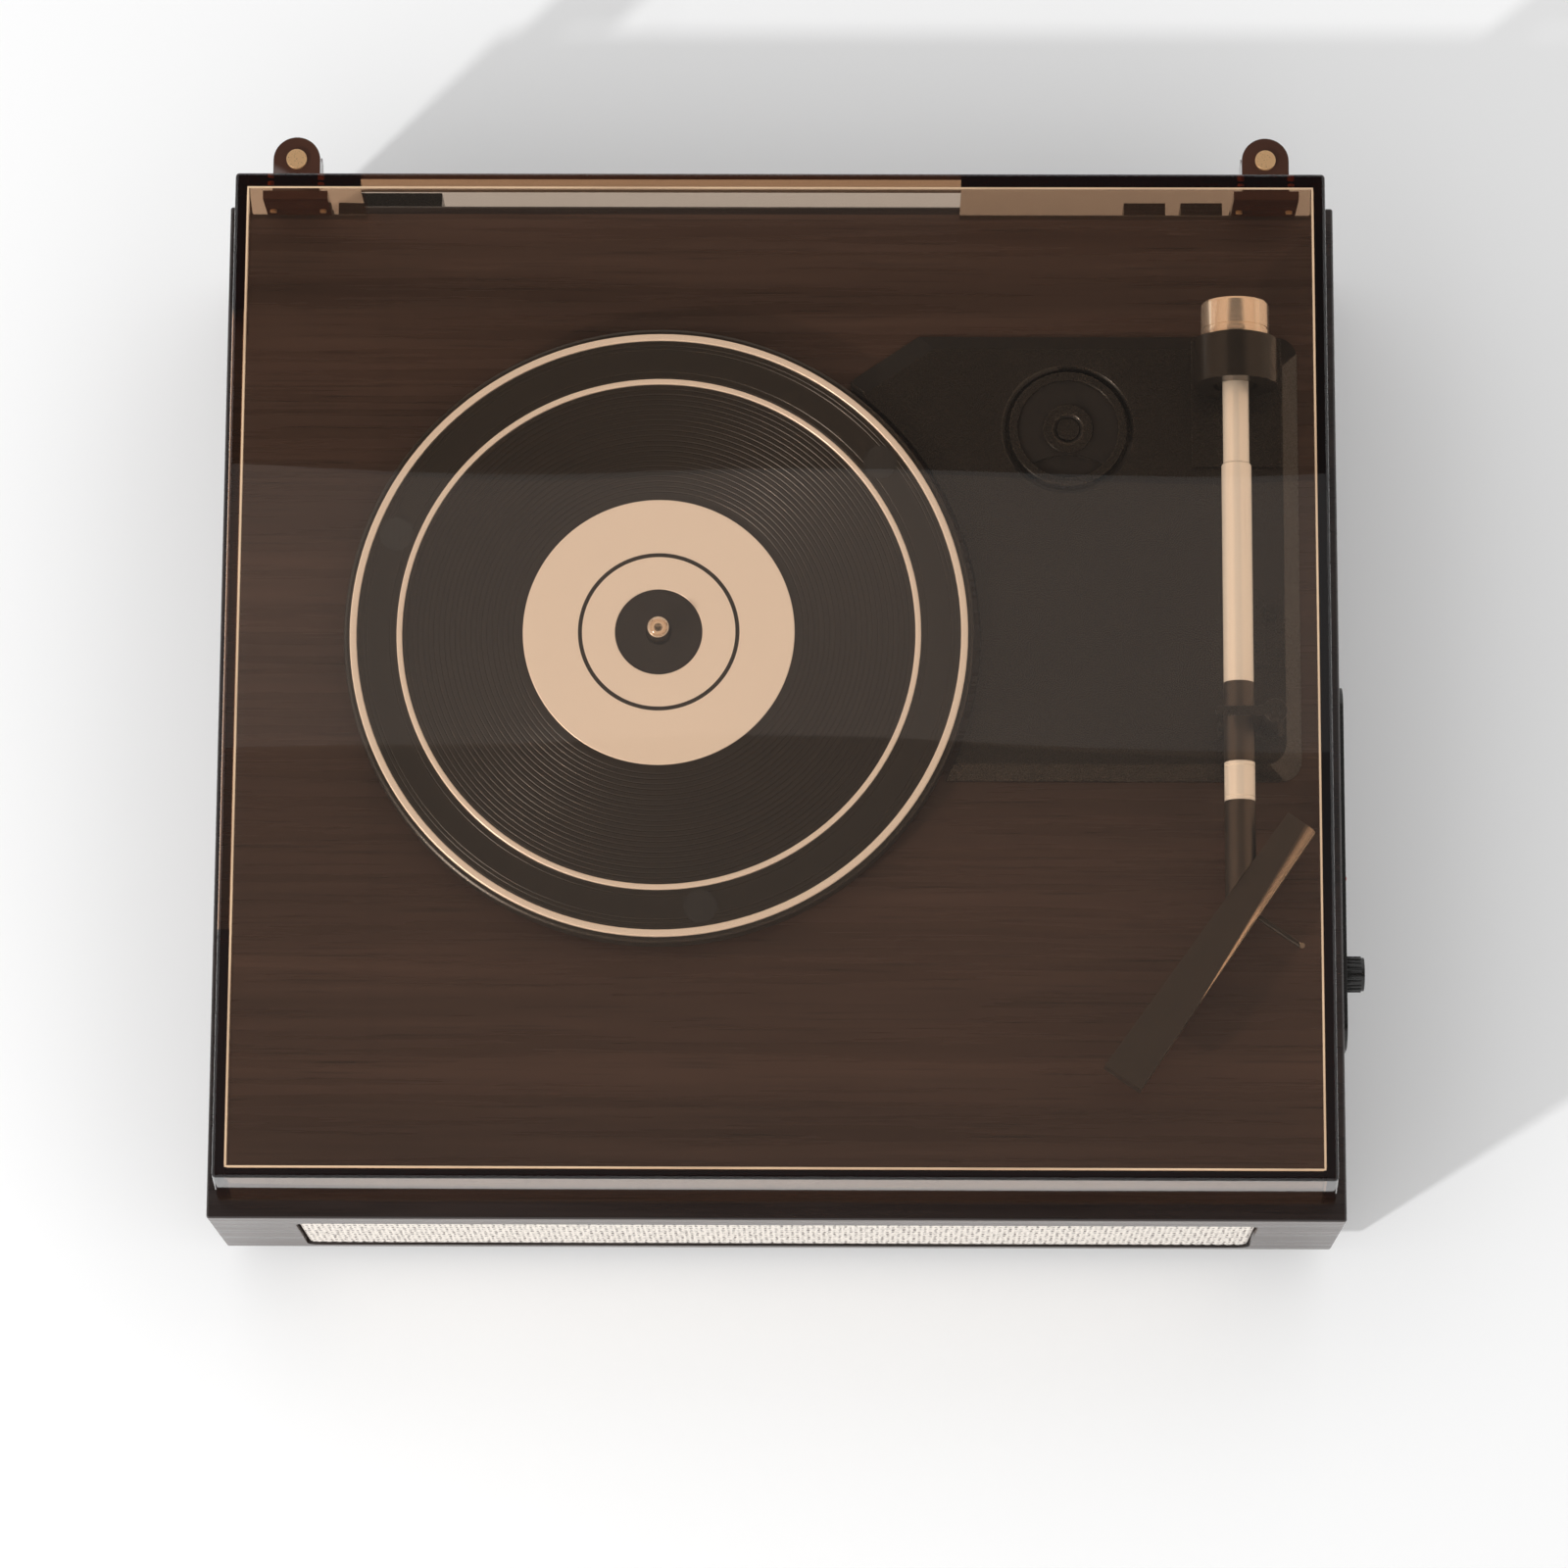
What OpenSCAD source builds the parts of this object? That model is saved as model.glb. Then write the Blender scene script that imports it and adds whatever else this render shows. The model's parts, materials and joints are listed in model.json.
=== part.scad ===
// Record player with a wooden cabinet, a belt-driven platter, a straight tonearm,
// a woven front grille and a hinged, tinted dust cover. Millimetres, +Z up, front at -Y.

/* [Cabinet] */
// Width of the wooden box
cabinet_w = 360; // [340:1:420]
// Depth of the wooden box, front to rear
cabinet_d = 333; // [320:1:380]
// Height of the wooden box without its feet
cabinet_h = 66.7; // [64:0.1:80]
// Thickness of the four walls
wall_t = 12; // [10:0.5:16]
// Thickness of the deck board
deck_t = 9; // [7:0.5:11]
// Thickness of the base board
base_t = 5; // [3:0.5:7]
// Side of the square glue block in each inner corner
corner_block = 16; // [12:1:22]

/* [Feet] */
// Radius of a rubber foot
foot_r = 12; // [9:0.5:16]
// Height of a rubber foot
foot_h = 8; // [5:0.5:14]
// Distance from the cabinet's sides to a foot's centre
foot_inset = 36; // [32:1:50]
// Radius of the stem that pushes into the base board
foot_stem_r = 4; // [3:0.5:6]

/* [Speaker grille] */
// Wood left at each side of the grille
grille_side = 27; // [15:1:50]
// Wood left above the grille, deck board included
grille_top = 12.4; // [12:0.2:16]
// Wood left below the grille
grille_bottom = 4.3; // [3:0.1:8]
// Corner radius of the grille
grille_corner = 4; // [1:0.5:8]
// Thickness of the grille cloth
cloth_t = 1.4; // [0.8:0.1:2]
// Depth of the cloth behind the front face
cloth_inset = 0.6; // [0.3:0.1:1.5]
// Thickness of the board that carries the cloth
grille_board_t = 4; // [2:0.5:5]

/* [Speakers] */
// Radius of the opening in front of a speaker
speaker_hole_r = 17.5; // [14:0.5:17.5]
// Width of the mounting rim round that opening
speaker_rim = 6; // [5:0.5:6]
// Distance from the cabinet's side to a speaker's centre
speaker_from_side = 80; // [65:1:110]
// Depth of a speaker behind the front wall
speaker_depth = 24; // [20:1:32]

/* [Dust cover] */
// Height of the cover
cover_h = 40; // [39:0.5:60]
// Wall thickness of the cover
cover_wall = 3.6; // [2.5:0.1:4]
// Thickness of the cover's top
cover_top = 4; // [3:0.1:4.5]
// Deck left free beside the cover
cover_side_gap = 3.5; // [1:0.1:6]
// Deck left free in front of the cover
cover_front_gap = 5.1; // [1:0.1:10]
// Deck left free behind the cover
cover_rear_gap = 1; // [0.5:0.1:3]
// Lean of the front and side walls over their height
cover_draft = 2.1; // [0:0.1:3]
// Height of the openings for the overhang of a large record
cut_h = 29; // [22:0.5:31]
// Length of the opening in the left wall
cut_left_l = 202; // [180:1:220]
// Length of the opening in the rear wall
cut_rear_l = 193; // [170:1:200]

/* [Hinges] */
// Distance from the cabinet's side to a hinge's centre
hinge_from_side = 23; // [16:0.5:40]
// Distance of the hinge axis behind the cabinet
hinge_back = 10.5; // [10:0.1:14]
// Height of the hinge axis above the deck
hinge_rise = 8; // [6:0.5:9]
// Radius of the round end of a hinge lug
lug_r = 7.6; // [7:0.1:9]
// Thickness of a hinge lug
lug_t = 6; // [4:0.5:8]
// Width of a hinge leaf
leaf_w = 21; // [20:0.5:28]
// Thickness of a hinge leaf
leaf_t = 3; // [2:0.1:4]
// Radius of a hinge knuckle
knuckle_r = 3.4; // [2.8:0.1:3.8]
// Radius of a hinge pin
hinge_pin_r = 1.5; // [1:0.1:2]

/* [Platter] */
// Distance of the spindle from the cabinet's left side
spindle_from_left = 141.7; // [138:0.1:146]
// Distance of the spindle from the cabinet's rear
spindle_from_rear = 145.4; // [140:0.1:150]
// Radius of the platter
platter_r = 101; // [100:0.5:104]
// Height of the platter's top above the deck
platter_rise = 9.5; // [8.5:0.1:10]
// Thickness of the platter's disc
platter_t = 2.5; // [2:0.1:3.5]
// Width of the platter's edge outside the outer trim ring
ring_margin = 2; // [1.5:0.1:4]
// Distance from the outer edge of one trim ring to that of the other
ring_step = 15; // [12:0.1:20]
// Width of the outer trim ring
ring_w = 2.3; // [1:0.1:4]
// Width of the inner trim ring
inner_ring_w = 1.9; // [1:0.1:4]
// Height of the trim rings, the mat and the band between the rings
mat_t = 1.2; // [0.8:0.1:1.6]
// Radius of the label disc
label_r = 43.5; // [35:0.5:50]
// Radius of the dark centre of the label disc
label_hole_r = 14; // [10:0.5:18]
// Thickness of the label disc
label_t = 0.5; // [0.3:0.1:0.8]
// Gap between a record pad and the trim rings beside it
pad_margin = 0.95; // [0.75:0.05:2]
// Radius of the spindle where a record sits
spindle_r = 3.6; // [3.5:0.01:3.62]
// Height of the spindle above the mat
spindle_rise = 9; // [7:0.5:11]
// Radius of the ring under the platter that carries the belt
belt_ring_r = 75; // [70:0.5:78]

/* [Motor] */
// Radius of the motor's can
motor_r = 17; // [13:0.5:20]
// Height of the motor's can
motor_h = 22; // [15:0.5:30]
// Radius of the pulley
pulley_r = 5; // [4:0.1:5.5]
// Direction from the spindle to the motor, degrees
motor_angle = 225; // [200:1:250]

/* [Arm base] */
// Distance of the arm from the cabinet's right side
arm_from_right = 33.7; // [32:0.1:40]
// Distance of the arm's pivot from the cabinet's rear
pivot_from_rear = 58.9; // [52:0.1:62]
// Height of the base plate
plate_h = 4.5; // [4:0.1:5]
// Width of the sloping edge of the base plate
plate_bevel = 5; // [2:0.5:7]
// Reach of the base plate to the right of the pivot
plate_right = 21.2; // [19:0.1:22]
// Reach of the base plate behind the pivot
plate_rear = 14.5; // [13:0.1:18]
// Reach of the base plate in front of the pivot
plate_front = 133; // [126:0.5:138]
// Height of the raised block under the pivot
block_h = 1.5; // [1:0.1:2]
// Distance from the pivot to the adapter, to the left
adapter_left = 53.2; // [48:0.1:58]
// Distance from the pivot to the adapter, to the front
adapter_front = 17.4; // [14:0.1:26]
// Radius of the adapter for records with a large hole
adapter_r = 19; // [18.8:0.05:19.1]
// Thickness of the adapter
adapter_t = 4.2; // [3.8:0.1:5]

/* [Tonearm] */
// Height of the arm's axis above the deck
arm_rise = 20.5; // [20:0.1:21]
// Radius of the pivot housing
housing_r = 13.5; // [12:0.1:13.8]
// Length of the pivot housing
housing_l = 15; // [14:0.5:18]
// Radius of the polished tube
tube_r = 4.8; // [4.5:0.1:5]
// Radius of the thinner tube that carries the sleeves
core_r = 4.2; // [4:0.05:4.3]
// Distance from the pivot to the step where the polished tube gets thicker
tube_start = 33.6; // [25:0.1:45]
// Distance from the pivot to the rear end of the rest sleeve
rest_sleeve_start = 105.1; // [98:0.1:108]
// Length of the rest sleeve
rest_sleeve_l = 25.8; // [22:0.1:28]
// Length of the polished collar
collar_l = 12.7; // [8:0.1:14]
// Distance from the pivot to where the arm crosses the head's centre line
head_from_pivot = 178.3; // [172:0.1:182]
// Angle between the head and the arm, degrees
head_angle = 34.9; // [30:0.1:38]
// Length of the head behind that crossing
head_back = 33.7; // [26:0.1:36]
// Length of the head in front of that crossing
head_front = 66; // [60:0.5:68]
// Width of the head at its front end
head_w = 13.6; // [13:0.1:16]
// Width of the head at its rear end
head_rear_w = 10.6; // [10:0.1:13]
// Thickness of the head
head_t = 7.5; // [7:0.1:8]
// Length of the finger lift
finger_l = 16.4; // [10:0.1:17]
// Radius of the counterweight
counterweight_r = 10.9; // [8:0.1:12]
// Length of the counterweight
counterweight_l = 11.6; // [9:0.1:14]

/* [Controls] */
// Distance the control panel stands out of the right side
panel_out = 2.4; // [1:0.1:4]
// Length of the control panel
panel_l = 119; // [100:1:130]
// Height of the control panel
panel_h = 30; // [20:1:36]
// Distance of the control panel's centre in front of the cabinet's middle
panel_forward = 48.5; // [30:0.5:55]
// Depth of the controls' centre line below the deck
control_drop = 30; // [28:0.5:34]
// Radius of the volume knob
knob_r = 5.9; // [5:0.1:8]
// Length of the volume knob
knob_l = 6; // [5:0.1:10]
// Distance of the knob in front of the control panel's centre
knob_forward = 33.5; // [25:0.5:40]
// Travel of the speed switch
switch_travel = 12; // [8:0.5:12]

/* [Rear sockets] */
// Distance from the cabinet's side to the middle of the socket housings
socket_from_side = 51.6; // [50:0.1:70]
// Width of the power inlet's housing
inlet_w = 34; // [26:0.5:36]
// Width of one line socket's housing
socket_w = 13.6; // [10:0.1:15]
// Gap between the two line socket housings
socket_gap = 5; // [3:0.1:8]
// Height of the socket housings
socket_h = 15; // [12:0.5:20]
// Distance the socket housings stand out of the rear
socket_out = 7.5; // [5:0.1:10]
// Depth of the housings' upper edge below the deck
socket_drop = 10; // [9.5:0.5:14]
// Radius of a line socket's hole
jack_r = 1.8; // [1.75:0.01:1.85]

/* [Fits] */
// Radial clearance of a shaft that turns in a hole
run_fit = 0.05; // [0.02:0.01:0.1]
// Clearance of a piece that is fixed in a hole
seat_fit = 0.03; // [0.02:0.01:0.1]
// Gap between pieces that move past each other
clear = 0.3; // [0.25:0.05:0.5]

/* [Hidden] */
$fn = 64;

// Overlap that keeps a cut clear of the face it breaks through
cut = 1;

// Cabinet faces and levels
left = -cabinet_w / 2;
right = cabinet_w / 2;
front = -cabinet_d / 2;
rear = cabinet_d / 2;
deck_z = foot_h + cabinet_h;
under_deck = deck_z - deck_t;
base_top = foot_h + base_t;
wall_h = cabinet_h - deck_t;
inner_h = under_deck - base_top;

// Feet
foot_edge = 2;
foot_barb = 1;
barb_h = 3;

// The origin is under the middle of the whole object
knob_gap = 0.5;
origin_shift = [-(panel_out + knob_gap + knob_l) / 2, -(hinge_back + lug_r) / 2, 0];

// Screws
screw_r = 1.5;
screw_head_r = 3;
screw_head_h = 1.8;
small_screw_r = 1.1;
small_head_r = 2;
small_head_h = 1.5;
screw_tip_gap = 0.5;
corner_screw_l = 11;
plate_skin = 2;
small_screw_hold = 4;

// Grille and speakers
grille_w = cabinet_w - 2 * grille_side;
grille_h = cabinet_h - grille_top - grille_bottom;
grille_z = foot_h + grille_bottom + grille_h / 2;
recess_d = cloth_inset + cloth_t + grille_board_t;
speaker_x = cabinet_w / 2 - speaker_from_side;
flange_r = speaker_hole_r + speaker_rim;
flange_t = 1.6;
speaker_screw_ring = flange_r - small_head_r - 0.1;
magnet_step = 4.5;
magnet_l = 11.5;
magnet_r = speaker_hole_r - magnet_step;
magnet_front = speaker_depth - magnet_l;
basket_back = magnet_front + 1.5;
basket_t = 1.5;
rim_in = 2.5;
magnet_gap = 2;
cone_back = magnet_front - magnet_gap;
cone_t = 1;
cone_core_r = 5;
cone_front = 0.3;
cone_gap = 0.1;
cone_r = speaker_hole_r - rim_in - cone_gap;

// Dust cover
cover_lift = 0.3;
cover_z = deck_z + cover_lift;
cover_left = left + cover_side_gap;
cover_right = right - cover_side_gap;
cover_front = front + cover_front_gap;
cover_rear = rear - cover_rear_gap;

// Hinges
hinge_x = cabinet_w / 2 - hinge_from_side;
hinge_y = rear + hinge_back;
hinge_z = deck_z + hinge_rise;
knuckle_l = 8;
ear_t = lug_r - knuckle_l / 2 - clear;
lug_gap = 0.1;
lug_z = hinge_z + knuckle_r + lug_gap;
lug_top = lug_z + lug_t;
leaf_foot = 1.2;
leaf_over = 2;
leaf_edge = 2.4;
leaf_screw_rise = 5.5;
leaf_bottom = cover_z + leaf_foot;
leaf_h = lug_top + leaf_over - leaf_bottom;
leaf_screw_x = leaf_w / 2 - leaf_edge;
leaf_screw_z = leaf_bottom + leaf_screw_rise;
bracket_t = 2.5;
bracket_drop = 3;
bracket_h = 27;
bracket_arm_h = 6;
bracket_arm_drop = 12;
bracket_screw_drop = 24;
bracket_arm_z = deck_z - bracket_arm_drop;
bracket_screw_z = deck_z - bracket_screw_drop;
bracket_screw_l = 9;
bracket_screw_x = 6;
post_t = 6;
lug_screw_r = 3.3;
lug_screw_h = 1.2;

// Platter
spindle = [left + spindle_from_left, rear - spindle_from_rear];
platter_z = deck_z + platter_rise;
mat_z = platter_z + mat_t;
ring_channel = 0.2;
shaft_step = 0.6;
shaft_r = spindle_r - shaft_step;
bush_r = 6;
bush_depth = 28;
bush_floor = 2.5;
bush_flange_r = 11;
bush_flange_t = 1.5;
skirt_t = 3;
skirt_z = deck_z + 2;
disc_z = platter_z - platter_t;
hub_r = 12;
hub_z = skirt_z + 0.2;
platter_edge = 1;
pad_seat = 0.8;
pad_h = 1;
ring_proud = 0.2;
spindle_tip = 2.4;
belt_ring_t = 3;
outer_ring_r = platter_r - ring_margin;
inner_ring_r = outer_ring_r - ring_step;
pad_ring = (outer_ring_r - ring_w + inner_ring_r) / 2;
pad_r = (outer_ring_r - ring_w - inner_ring_r) / 2 - pad_margin;
pad_angles = [38.5, 159.2, 278.9];

// Motor and belt
pulley_reach = belt_ring_r + (platter_r - skirt_t - belt_ring_r) / 2;
motor = spindle + pulley_reach * [cos(motor_angle), sin(motor_angle)];
motor_hole_r = pulley_r + 3;
motor_ear = 7;
motor_ear_t = 1.5;
motor_shaft_r = 1;
motor_nose_r = 4;
motor_floor = 3;
pulley_rim = 1;
pulley_rim_t = 0.5;
pulley_over = 0.4;
belt_t = 0.8;
belt_h = 2.6;
belt_z = deck_z + 3.2;
pulley_h = pulley_rim_t + clear + belt_h + pulley_over;

// Arm base
pivot = [right - arm_from_right, rear - pivot_from_rear];
plate_top = deck_z + plate_h;
plate_gap = 2;
plate_chamfer = [22, 15];
plate_corner_r = 7;
plate_left = spindle[0] + 0.606 * platter_r;
block_top = plate_top + block_h;
block_left = 13.3;
block_right = 15.7;
block_front = 30.2;
block_rear = 12.5;
boss_r = 7;
boss_drop = 3;
adapter = pivot - [adapter_left, adapter_front];
recess_floor = 0.8;
recess_r = adapter_r + 1.2;
recess_chamfer = 1.2;
adapter_hole_r = spindle_r + 0.05;
dish_r = adapter_r - 2.7;
dish_d = 1;
adapter_hub_r = 8;
hole_flare = 1.4;
hollow_r = 22;
hollow_d = 1;
hollow_y = -adapter_hub_r - 0.5 - hollow_r;
plate_screws = [[-78, -118], [6, -124], [-90, 4], [-30, -48]];

// Tonearm
arm_z = deck_z + arm_rise;
housing_front = pivot[1] - housing_l / 2;
housing_rear = pivot[1] + housing_l / 2;
cavity_r = 7.2;
housing_foot_r = 7;
pin_recess = 0.8;
yaw_r = 3;
yaw_socket = 5;
yaw_collar_r = 5.5;
yaw_collar_h = 2;
pivot_pin_r = 1.5;
hub_rod_r = 6;
hub_rod_l = 8;
sleeve_r = tube_r + 0.1;
tube_bore_r = 2.6;
spigot_r = 3;
core_end = head_from_pivot - 20.3;
collar_start = rest_sleeve_start + rest_sleeve_l;
neck_start = collar_start + collar_l;
spigot_end = head_from_pivot + 2.2;
sleeve_end = head_from_pivot + 2;
head_z = arm_z - head_t / 2;
head_bevel_w = 4;
head_bevel_l = 53.5;
head_bevel_tilt = 32;
pocket_w = 10.4;
pocket_l = 20;
pocket_front = 4;
pocket_h = 4.5;
pocket_gap = 0.2;
cartridge_drop = 3.4;
stylus_h = 0.9;
stylus_tip_h = 0.6;
stylus_w = 4;
stylus_l = 10;
stylus_back = 4;
tip_back = 6;
finger_r = 0.9;
finger_y = 1.2;
finger_x = head_w / 2 - 1;
finger_z = head_z + head_t / 2;
finger_socket = 1.6;
finger_end_h = 2;
counterweight_gap = 0.8;
counterweight_front = -housing_l / 2 - counterweight_gap;
tail_l = counterweight_l - counterweight_front - 2;

// Arm rest and switch
rest_y = rest_sleeve_start + 11.5;
rest_left = 5.8;
rest_right = 15.2;
rest_w = 5;
rest_foot_h = 2;
rest_post_r = 3.5;
rest_post_x = 10.7;
latch_t = 2.3;
latch_l = 18.8;
latch_w = 3;
lift_angle = 2.5;
latch_z = arm_z + sleeve_r + (rest_y + latch_w) * tan(lift_angle) + clear;
latch_hub_r = 3.8;
latch_pin_r = 1.4;
switch_x = 11.2;
switch_y = 78.4;
switch_w = 3;
switch_l = 5;
switch_h = 3.6;
switch_groove = 0.4;
switch_pitch = 1.5;
bezel_w = 9.6;
bezel_h = 1;
bezel_rim = 3;

// Controls and sockets
control_z = deck_z - control_drop;
panel_y = -panel_forward;
panel_corner = 8;
knob_y = panel_y - knob_forward;
phones_y = panel_y + 28;
lamp_y = panel_y - 2;
control_shaft_r = 2.5;
bushing_r = 3.5;
control_body_r = 8;
control_body_l = 12;
socket_barrel_r = 4;
jack_depth = 14;
lamp_r = 1.5;
socket_inside = 3;
socket_rim = 1;
socket_rim_t = 0.8;
socket_bridge_t = 2;
knob_grip_r = 0.5;
knob_face = 1;
inlet_hole_r = 2.8;
inlet_barrel_r = inlet_hole_r + 1.5;
inlet_pin_r = 1;
inlet_depth = 9;
socket_x = cabinet_w / 2 - socket_from_side;
socket_z = deck_z - socket_drop - socket_h / 2;
socket_pitch = socket_w + socket_gap;

// Amplifier
board = [110, 64, 1.6];
board_at = [60, -30];
post_inset = 5;
cap_r = 6;
cap_h = 16;
small_cap_r = 2.5;
small_cap_h = 8;
small_cap_pitch = 12;
sink = [40, 3, 18];
fin_t = 1.5;
fin_l = 9;
fin_pitch = 5;
relay = [16, 10, 7];
chip = [20, 8, 2.5];
post_h = 8;
post_r = 3;
board_z = base_top + post_h;

module place() translate(origin_shift) children();
module at(p, z = 0) translate([p[0], p[1], z]) children();
module x_rod(r, l) rotate([0, 90, 0]) cylinder(r = r, h = l);
module y_rod(r, l) rotate([-90, 0, 0]) cylinder(r = r, h = l);
module both_sides(x) for (side = [-1, 1]) translate([side * x, 0, 0]) children();

// Rectangle with round corners, centred
module rounded(w, h, r) {
  square([w - 2 * r, h], center = true);
  square([w, h - 2 * r], center = true);
  for (x = [-1, 1], y = [-1, 1])
    translate([x * (w / 2 - r), y * (h / 2 - r)]) circle(r);
}

// Plate parallel to the front, from its front face towards the rear
module front_plate(w, h, r, t) rotate([90, 0, 0]) mirror([0, 0, 1]) linear_extrude(t) rounded(w, h, r);

// Plate parallel to the right side, from its inner face outwards
module side_plate(l, h, r, t) rotate([90, 0, 90]) linear_extrude(t) rounded(l, h, r);

// Places that repeat
module each_corner(inset) {
  for (x = [left + inset, right - inset], y = [front + inset, rear - inset]) at([x, y]) children();
}
module each_speaker() both_sides(speaker_x) translate([0, front + wall_t, grille_z]) children();
module speaker_screw_places() for (a = [45:90:315]) rotate([0, a, 0])
  translate([speaker_screw_ring, 0, 0]) children();
module each_hinge() both_sides(hinge_x) children();
module bracket_screw_places() both_sides(bracket_screw_x) translate([0, rear, bracket_screw_z]) children();
module leaf_screw_places() both_sides(leaf_screw_x) translate([0, cover_rear, leaf_screw_z]) children();
module motor_screw_places() for (s = [-1, 1]) at(motor) translate([s * (motor_r + motor_ear / 2), 0, 0])
  children();
module plate_screw_places() for (p = plate_screws) at(pivot + p) children();
module corner_screw_places() each_corner(wall_t + corner_block / 2) children();
module each_line_socket() for (s = [-1, 1]) translate([socket_x + s * socket_pitch / 2, rear, socket_z])
  children();

// Cabinet
module front_panel() color("saddlebrown") difference() {
  translate([left, front, foot_h]) cube([cabinet_w, wall_t, wall_h]);
  translate([0, front - cut, grille_z])
    front_plate(grille_w, grille_h, grille_corner, recess_d + cut);
  each_speaker() translate([0, -wall_t, 0]) y_rod(speaker_hole_r, wall_t + cut);
  each_speaker() speaker_screw_places() translate([0, -small_screw_hold, 0])
    y_rod(small_screw_r + seat_fit, small_screw_hold + cut);
}

module rear_panel() color("saddlebrown") difference() {
  translate([left, rear - wall_t, foot_h]) cube([cabinet_w, wall_t, wall_h]);
  translate([-socket_x, rear - wall_t - cut, socket_z])
    y_rod(inlet_barrel_r + seat_fit, wall_t + 2 * cut);
  each_line_socket() translate([0, -wall_t - cut, 0]) y_rod(socket_barrel_r + seat_fit, wall_t + 2 * cut);
  each_hinge() bracket_screw_places() translate([0, -bracket_screw_l, 0])
    y_rod(screw_r + seat_fit, bracket_screw_l + cut);
}

module side_board(x) translate([x, front + wall_t, foot_h]) cube([wall_t, cabinet_d - 2 * wall_t, wall_h]);

module left_panel() color("saddlebrown") side_board(left);

module right_panel() color("saddlebrown") difference() {
  side_board(right - wall_t);
  translate([right - wall_t - cut, 0, control_z]) {
    translate([0, knob_y, 0]) x_rod(bushing_r + seat_fit, wall_t + 2 * cut);
    translate([0, phones_y, 0]) x_rod(socket_barrel_r + seat_fit, wall_t + 2 * cut);
    translate([0, lamp_y, 0]) x_rod(lamp_r + seat_fit, wall_t + 2 * cut);
  }
}

module deck_panel() color("saddlebrown") difference() {
  translate([left, front, under_deck]) cube([cabinet_w, cabinet_d, deck_t]);
  translate([0, 0, under_deck - cut]) {
    at(spindle) cylinder(r = bush_r + seat_fit, h = deck_t + 2 * cut);
    at(motor) cylinder(r = motor_hole_r, h = deck_t + 2 * cut);
    at(pivot) cylinder(r = boss_r + seat_fit, h = deck_t + 2 * cut);
    plate_screw_places() cylinder(r = screw_r + seat_fit, h = deck_t + 2 * cut);
    motor_screw_places() cylinder(r = small_screw_r + seat_fit, h = small_screw_hold + cut);
  }
}

module base_panel() color("tan") difference() {
  translate([left + wall_t, front + wall_t, foot_h])
    cube([cabinet_w - 2 * wall_t, cabinet_d - 2 * wall_t, base_t]);
  translate([0, 0, foot_h - cut]) {
    each_corner(foot_inset) cylinder(r = foot_stem_r + seat_fit, h = base_t + 2 * cut);
    corner_screw_places() cylinder(r = screw_r + seat_fit, h = base_t + 2 * cut);
  }
}

module corner_blocks() color("burlywood") difference() {
  each_corner(wall_t + corner_block / 2)
    translate([-corner_block / 2, -corner_block / 2, base_top]) cube([corner_block, corner_block, inner_h]);
  corner_screw_places() translate([0, 0, base_top - cut])
    cylinder(r = screw_r + seat_fit, h = corner_screw_l + screw_tip_gap + cut);
}

module screw(r, l, head_r, head_h) {
  translate([0, 0, -head_h]) cylinder(r = head_r, h = head_h);
  cylinder(r = r, h = l);
}

module wood_screws() color("silver") {
  corner_screw_places() translate([0, 0, foot_h])
    screw(screw_r, base_t + corner_screw_l, screw_head_r, screw_head_h);
  plate_screw_places() translate([0, 0, under_deck])
    screw(screw_r, deck_t + plate_h - plate_skin - screw_tip_gap, screw_head_r, screw_head_h);
  each_hinge() bracket_screw_places() translate([0, bracket_t, 0]) rotate([90, 0, 0])
    screw(screw_r, bracket_t + bracket_screw_l - screw_tip_gap, screw_head_r, screw_head_h);
}

module feet() color("dimgray") each_corner(foot_inset) rotate_extrude() polygon([
  [0, 0], [foot_r - foot_edge, 0], [foot_r, foot_edge], [foot_r, foot_h], [foot_stem_r, foot_h],
  [foot_stem_r, base_top], [foot_stem_r + foot_barb, base_top + foot_barb / 2],
  [foot_stem_r - foot_barb, base_top + barb_h], [0, base_top + barb_h]
]);

// Grille and speakers
module grille_board() color("black") difference() {
  translate([0, front + cloth_inset + cloth_t, grille_z])
    front_plate(grille_w - 2 * clear, grille_h - 2 * clear, grille_corner - clear, grille_board_t);
  each_speaker() translate([0, -wall_t, 0]) y_rod(speaker_hole_r, wall_t);
}

module grille_cloth() color("ivory") translate([0, front + cloth_inset, grille_z])
  front_plate(grille_w - 2 * clear, grille_h - 2 * clear, grille_corner - clear, cloth_t);

// Speaker basket with its magnet; the rim lies against the inside of the front wall
module speaker(x) color("dimgray") translate([x, front + wall_t, grille_z]) difference() {
  rotate([-90, 0, 0]) rotate_extrude() polygon([
    [speaker_hole_r - rim_in, 0], [flange_r, 0], [flange_r, flange_t],
    [speaker_hole_r + basket_t / 2, flange_t], [magnet_r, basket_back],
    [magnet_r, speaker_depth], [0, speaker_depth], [0, magnet_front],
    [magnet_r - basket_t, magnet_front], [speaker_hole_r - basket_t / 2, flange_t],
    [speaker_hole_r - rim_in, flange_t]
  ]);
  speaker_screw_places() translate([0, -cut, 0]) y_rod(small_screw_r + seat_fit, flange_t + 2 * cut);
}
module left_speaker() speaker(-speaker_x);
module right_speaker() speaker(speaker_x);

module speaker_cones() color("gray") each_speaker() rotate([-90, 0, 0]) rotate_extrude() polygon([
  [cone_r - cone_t / 3, cone_front], [cone_r, cone_front + cone_t], [cone_core_r, cone_back], [0, cone_back],
  [0, cone_back - cone_t], [cone_core_r - cone_t / 2, cone_back - cone_t],
  [cone_r - cone_t, cone_front + cone_t / 2]
]);

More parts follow.
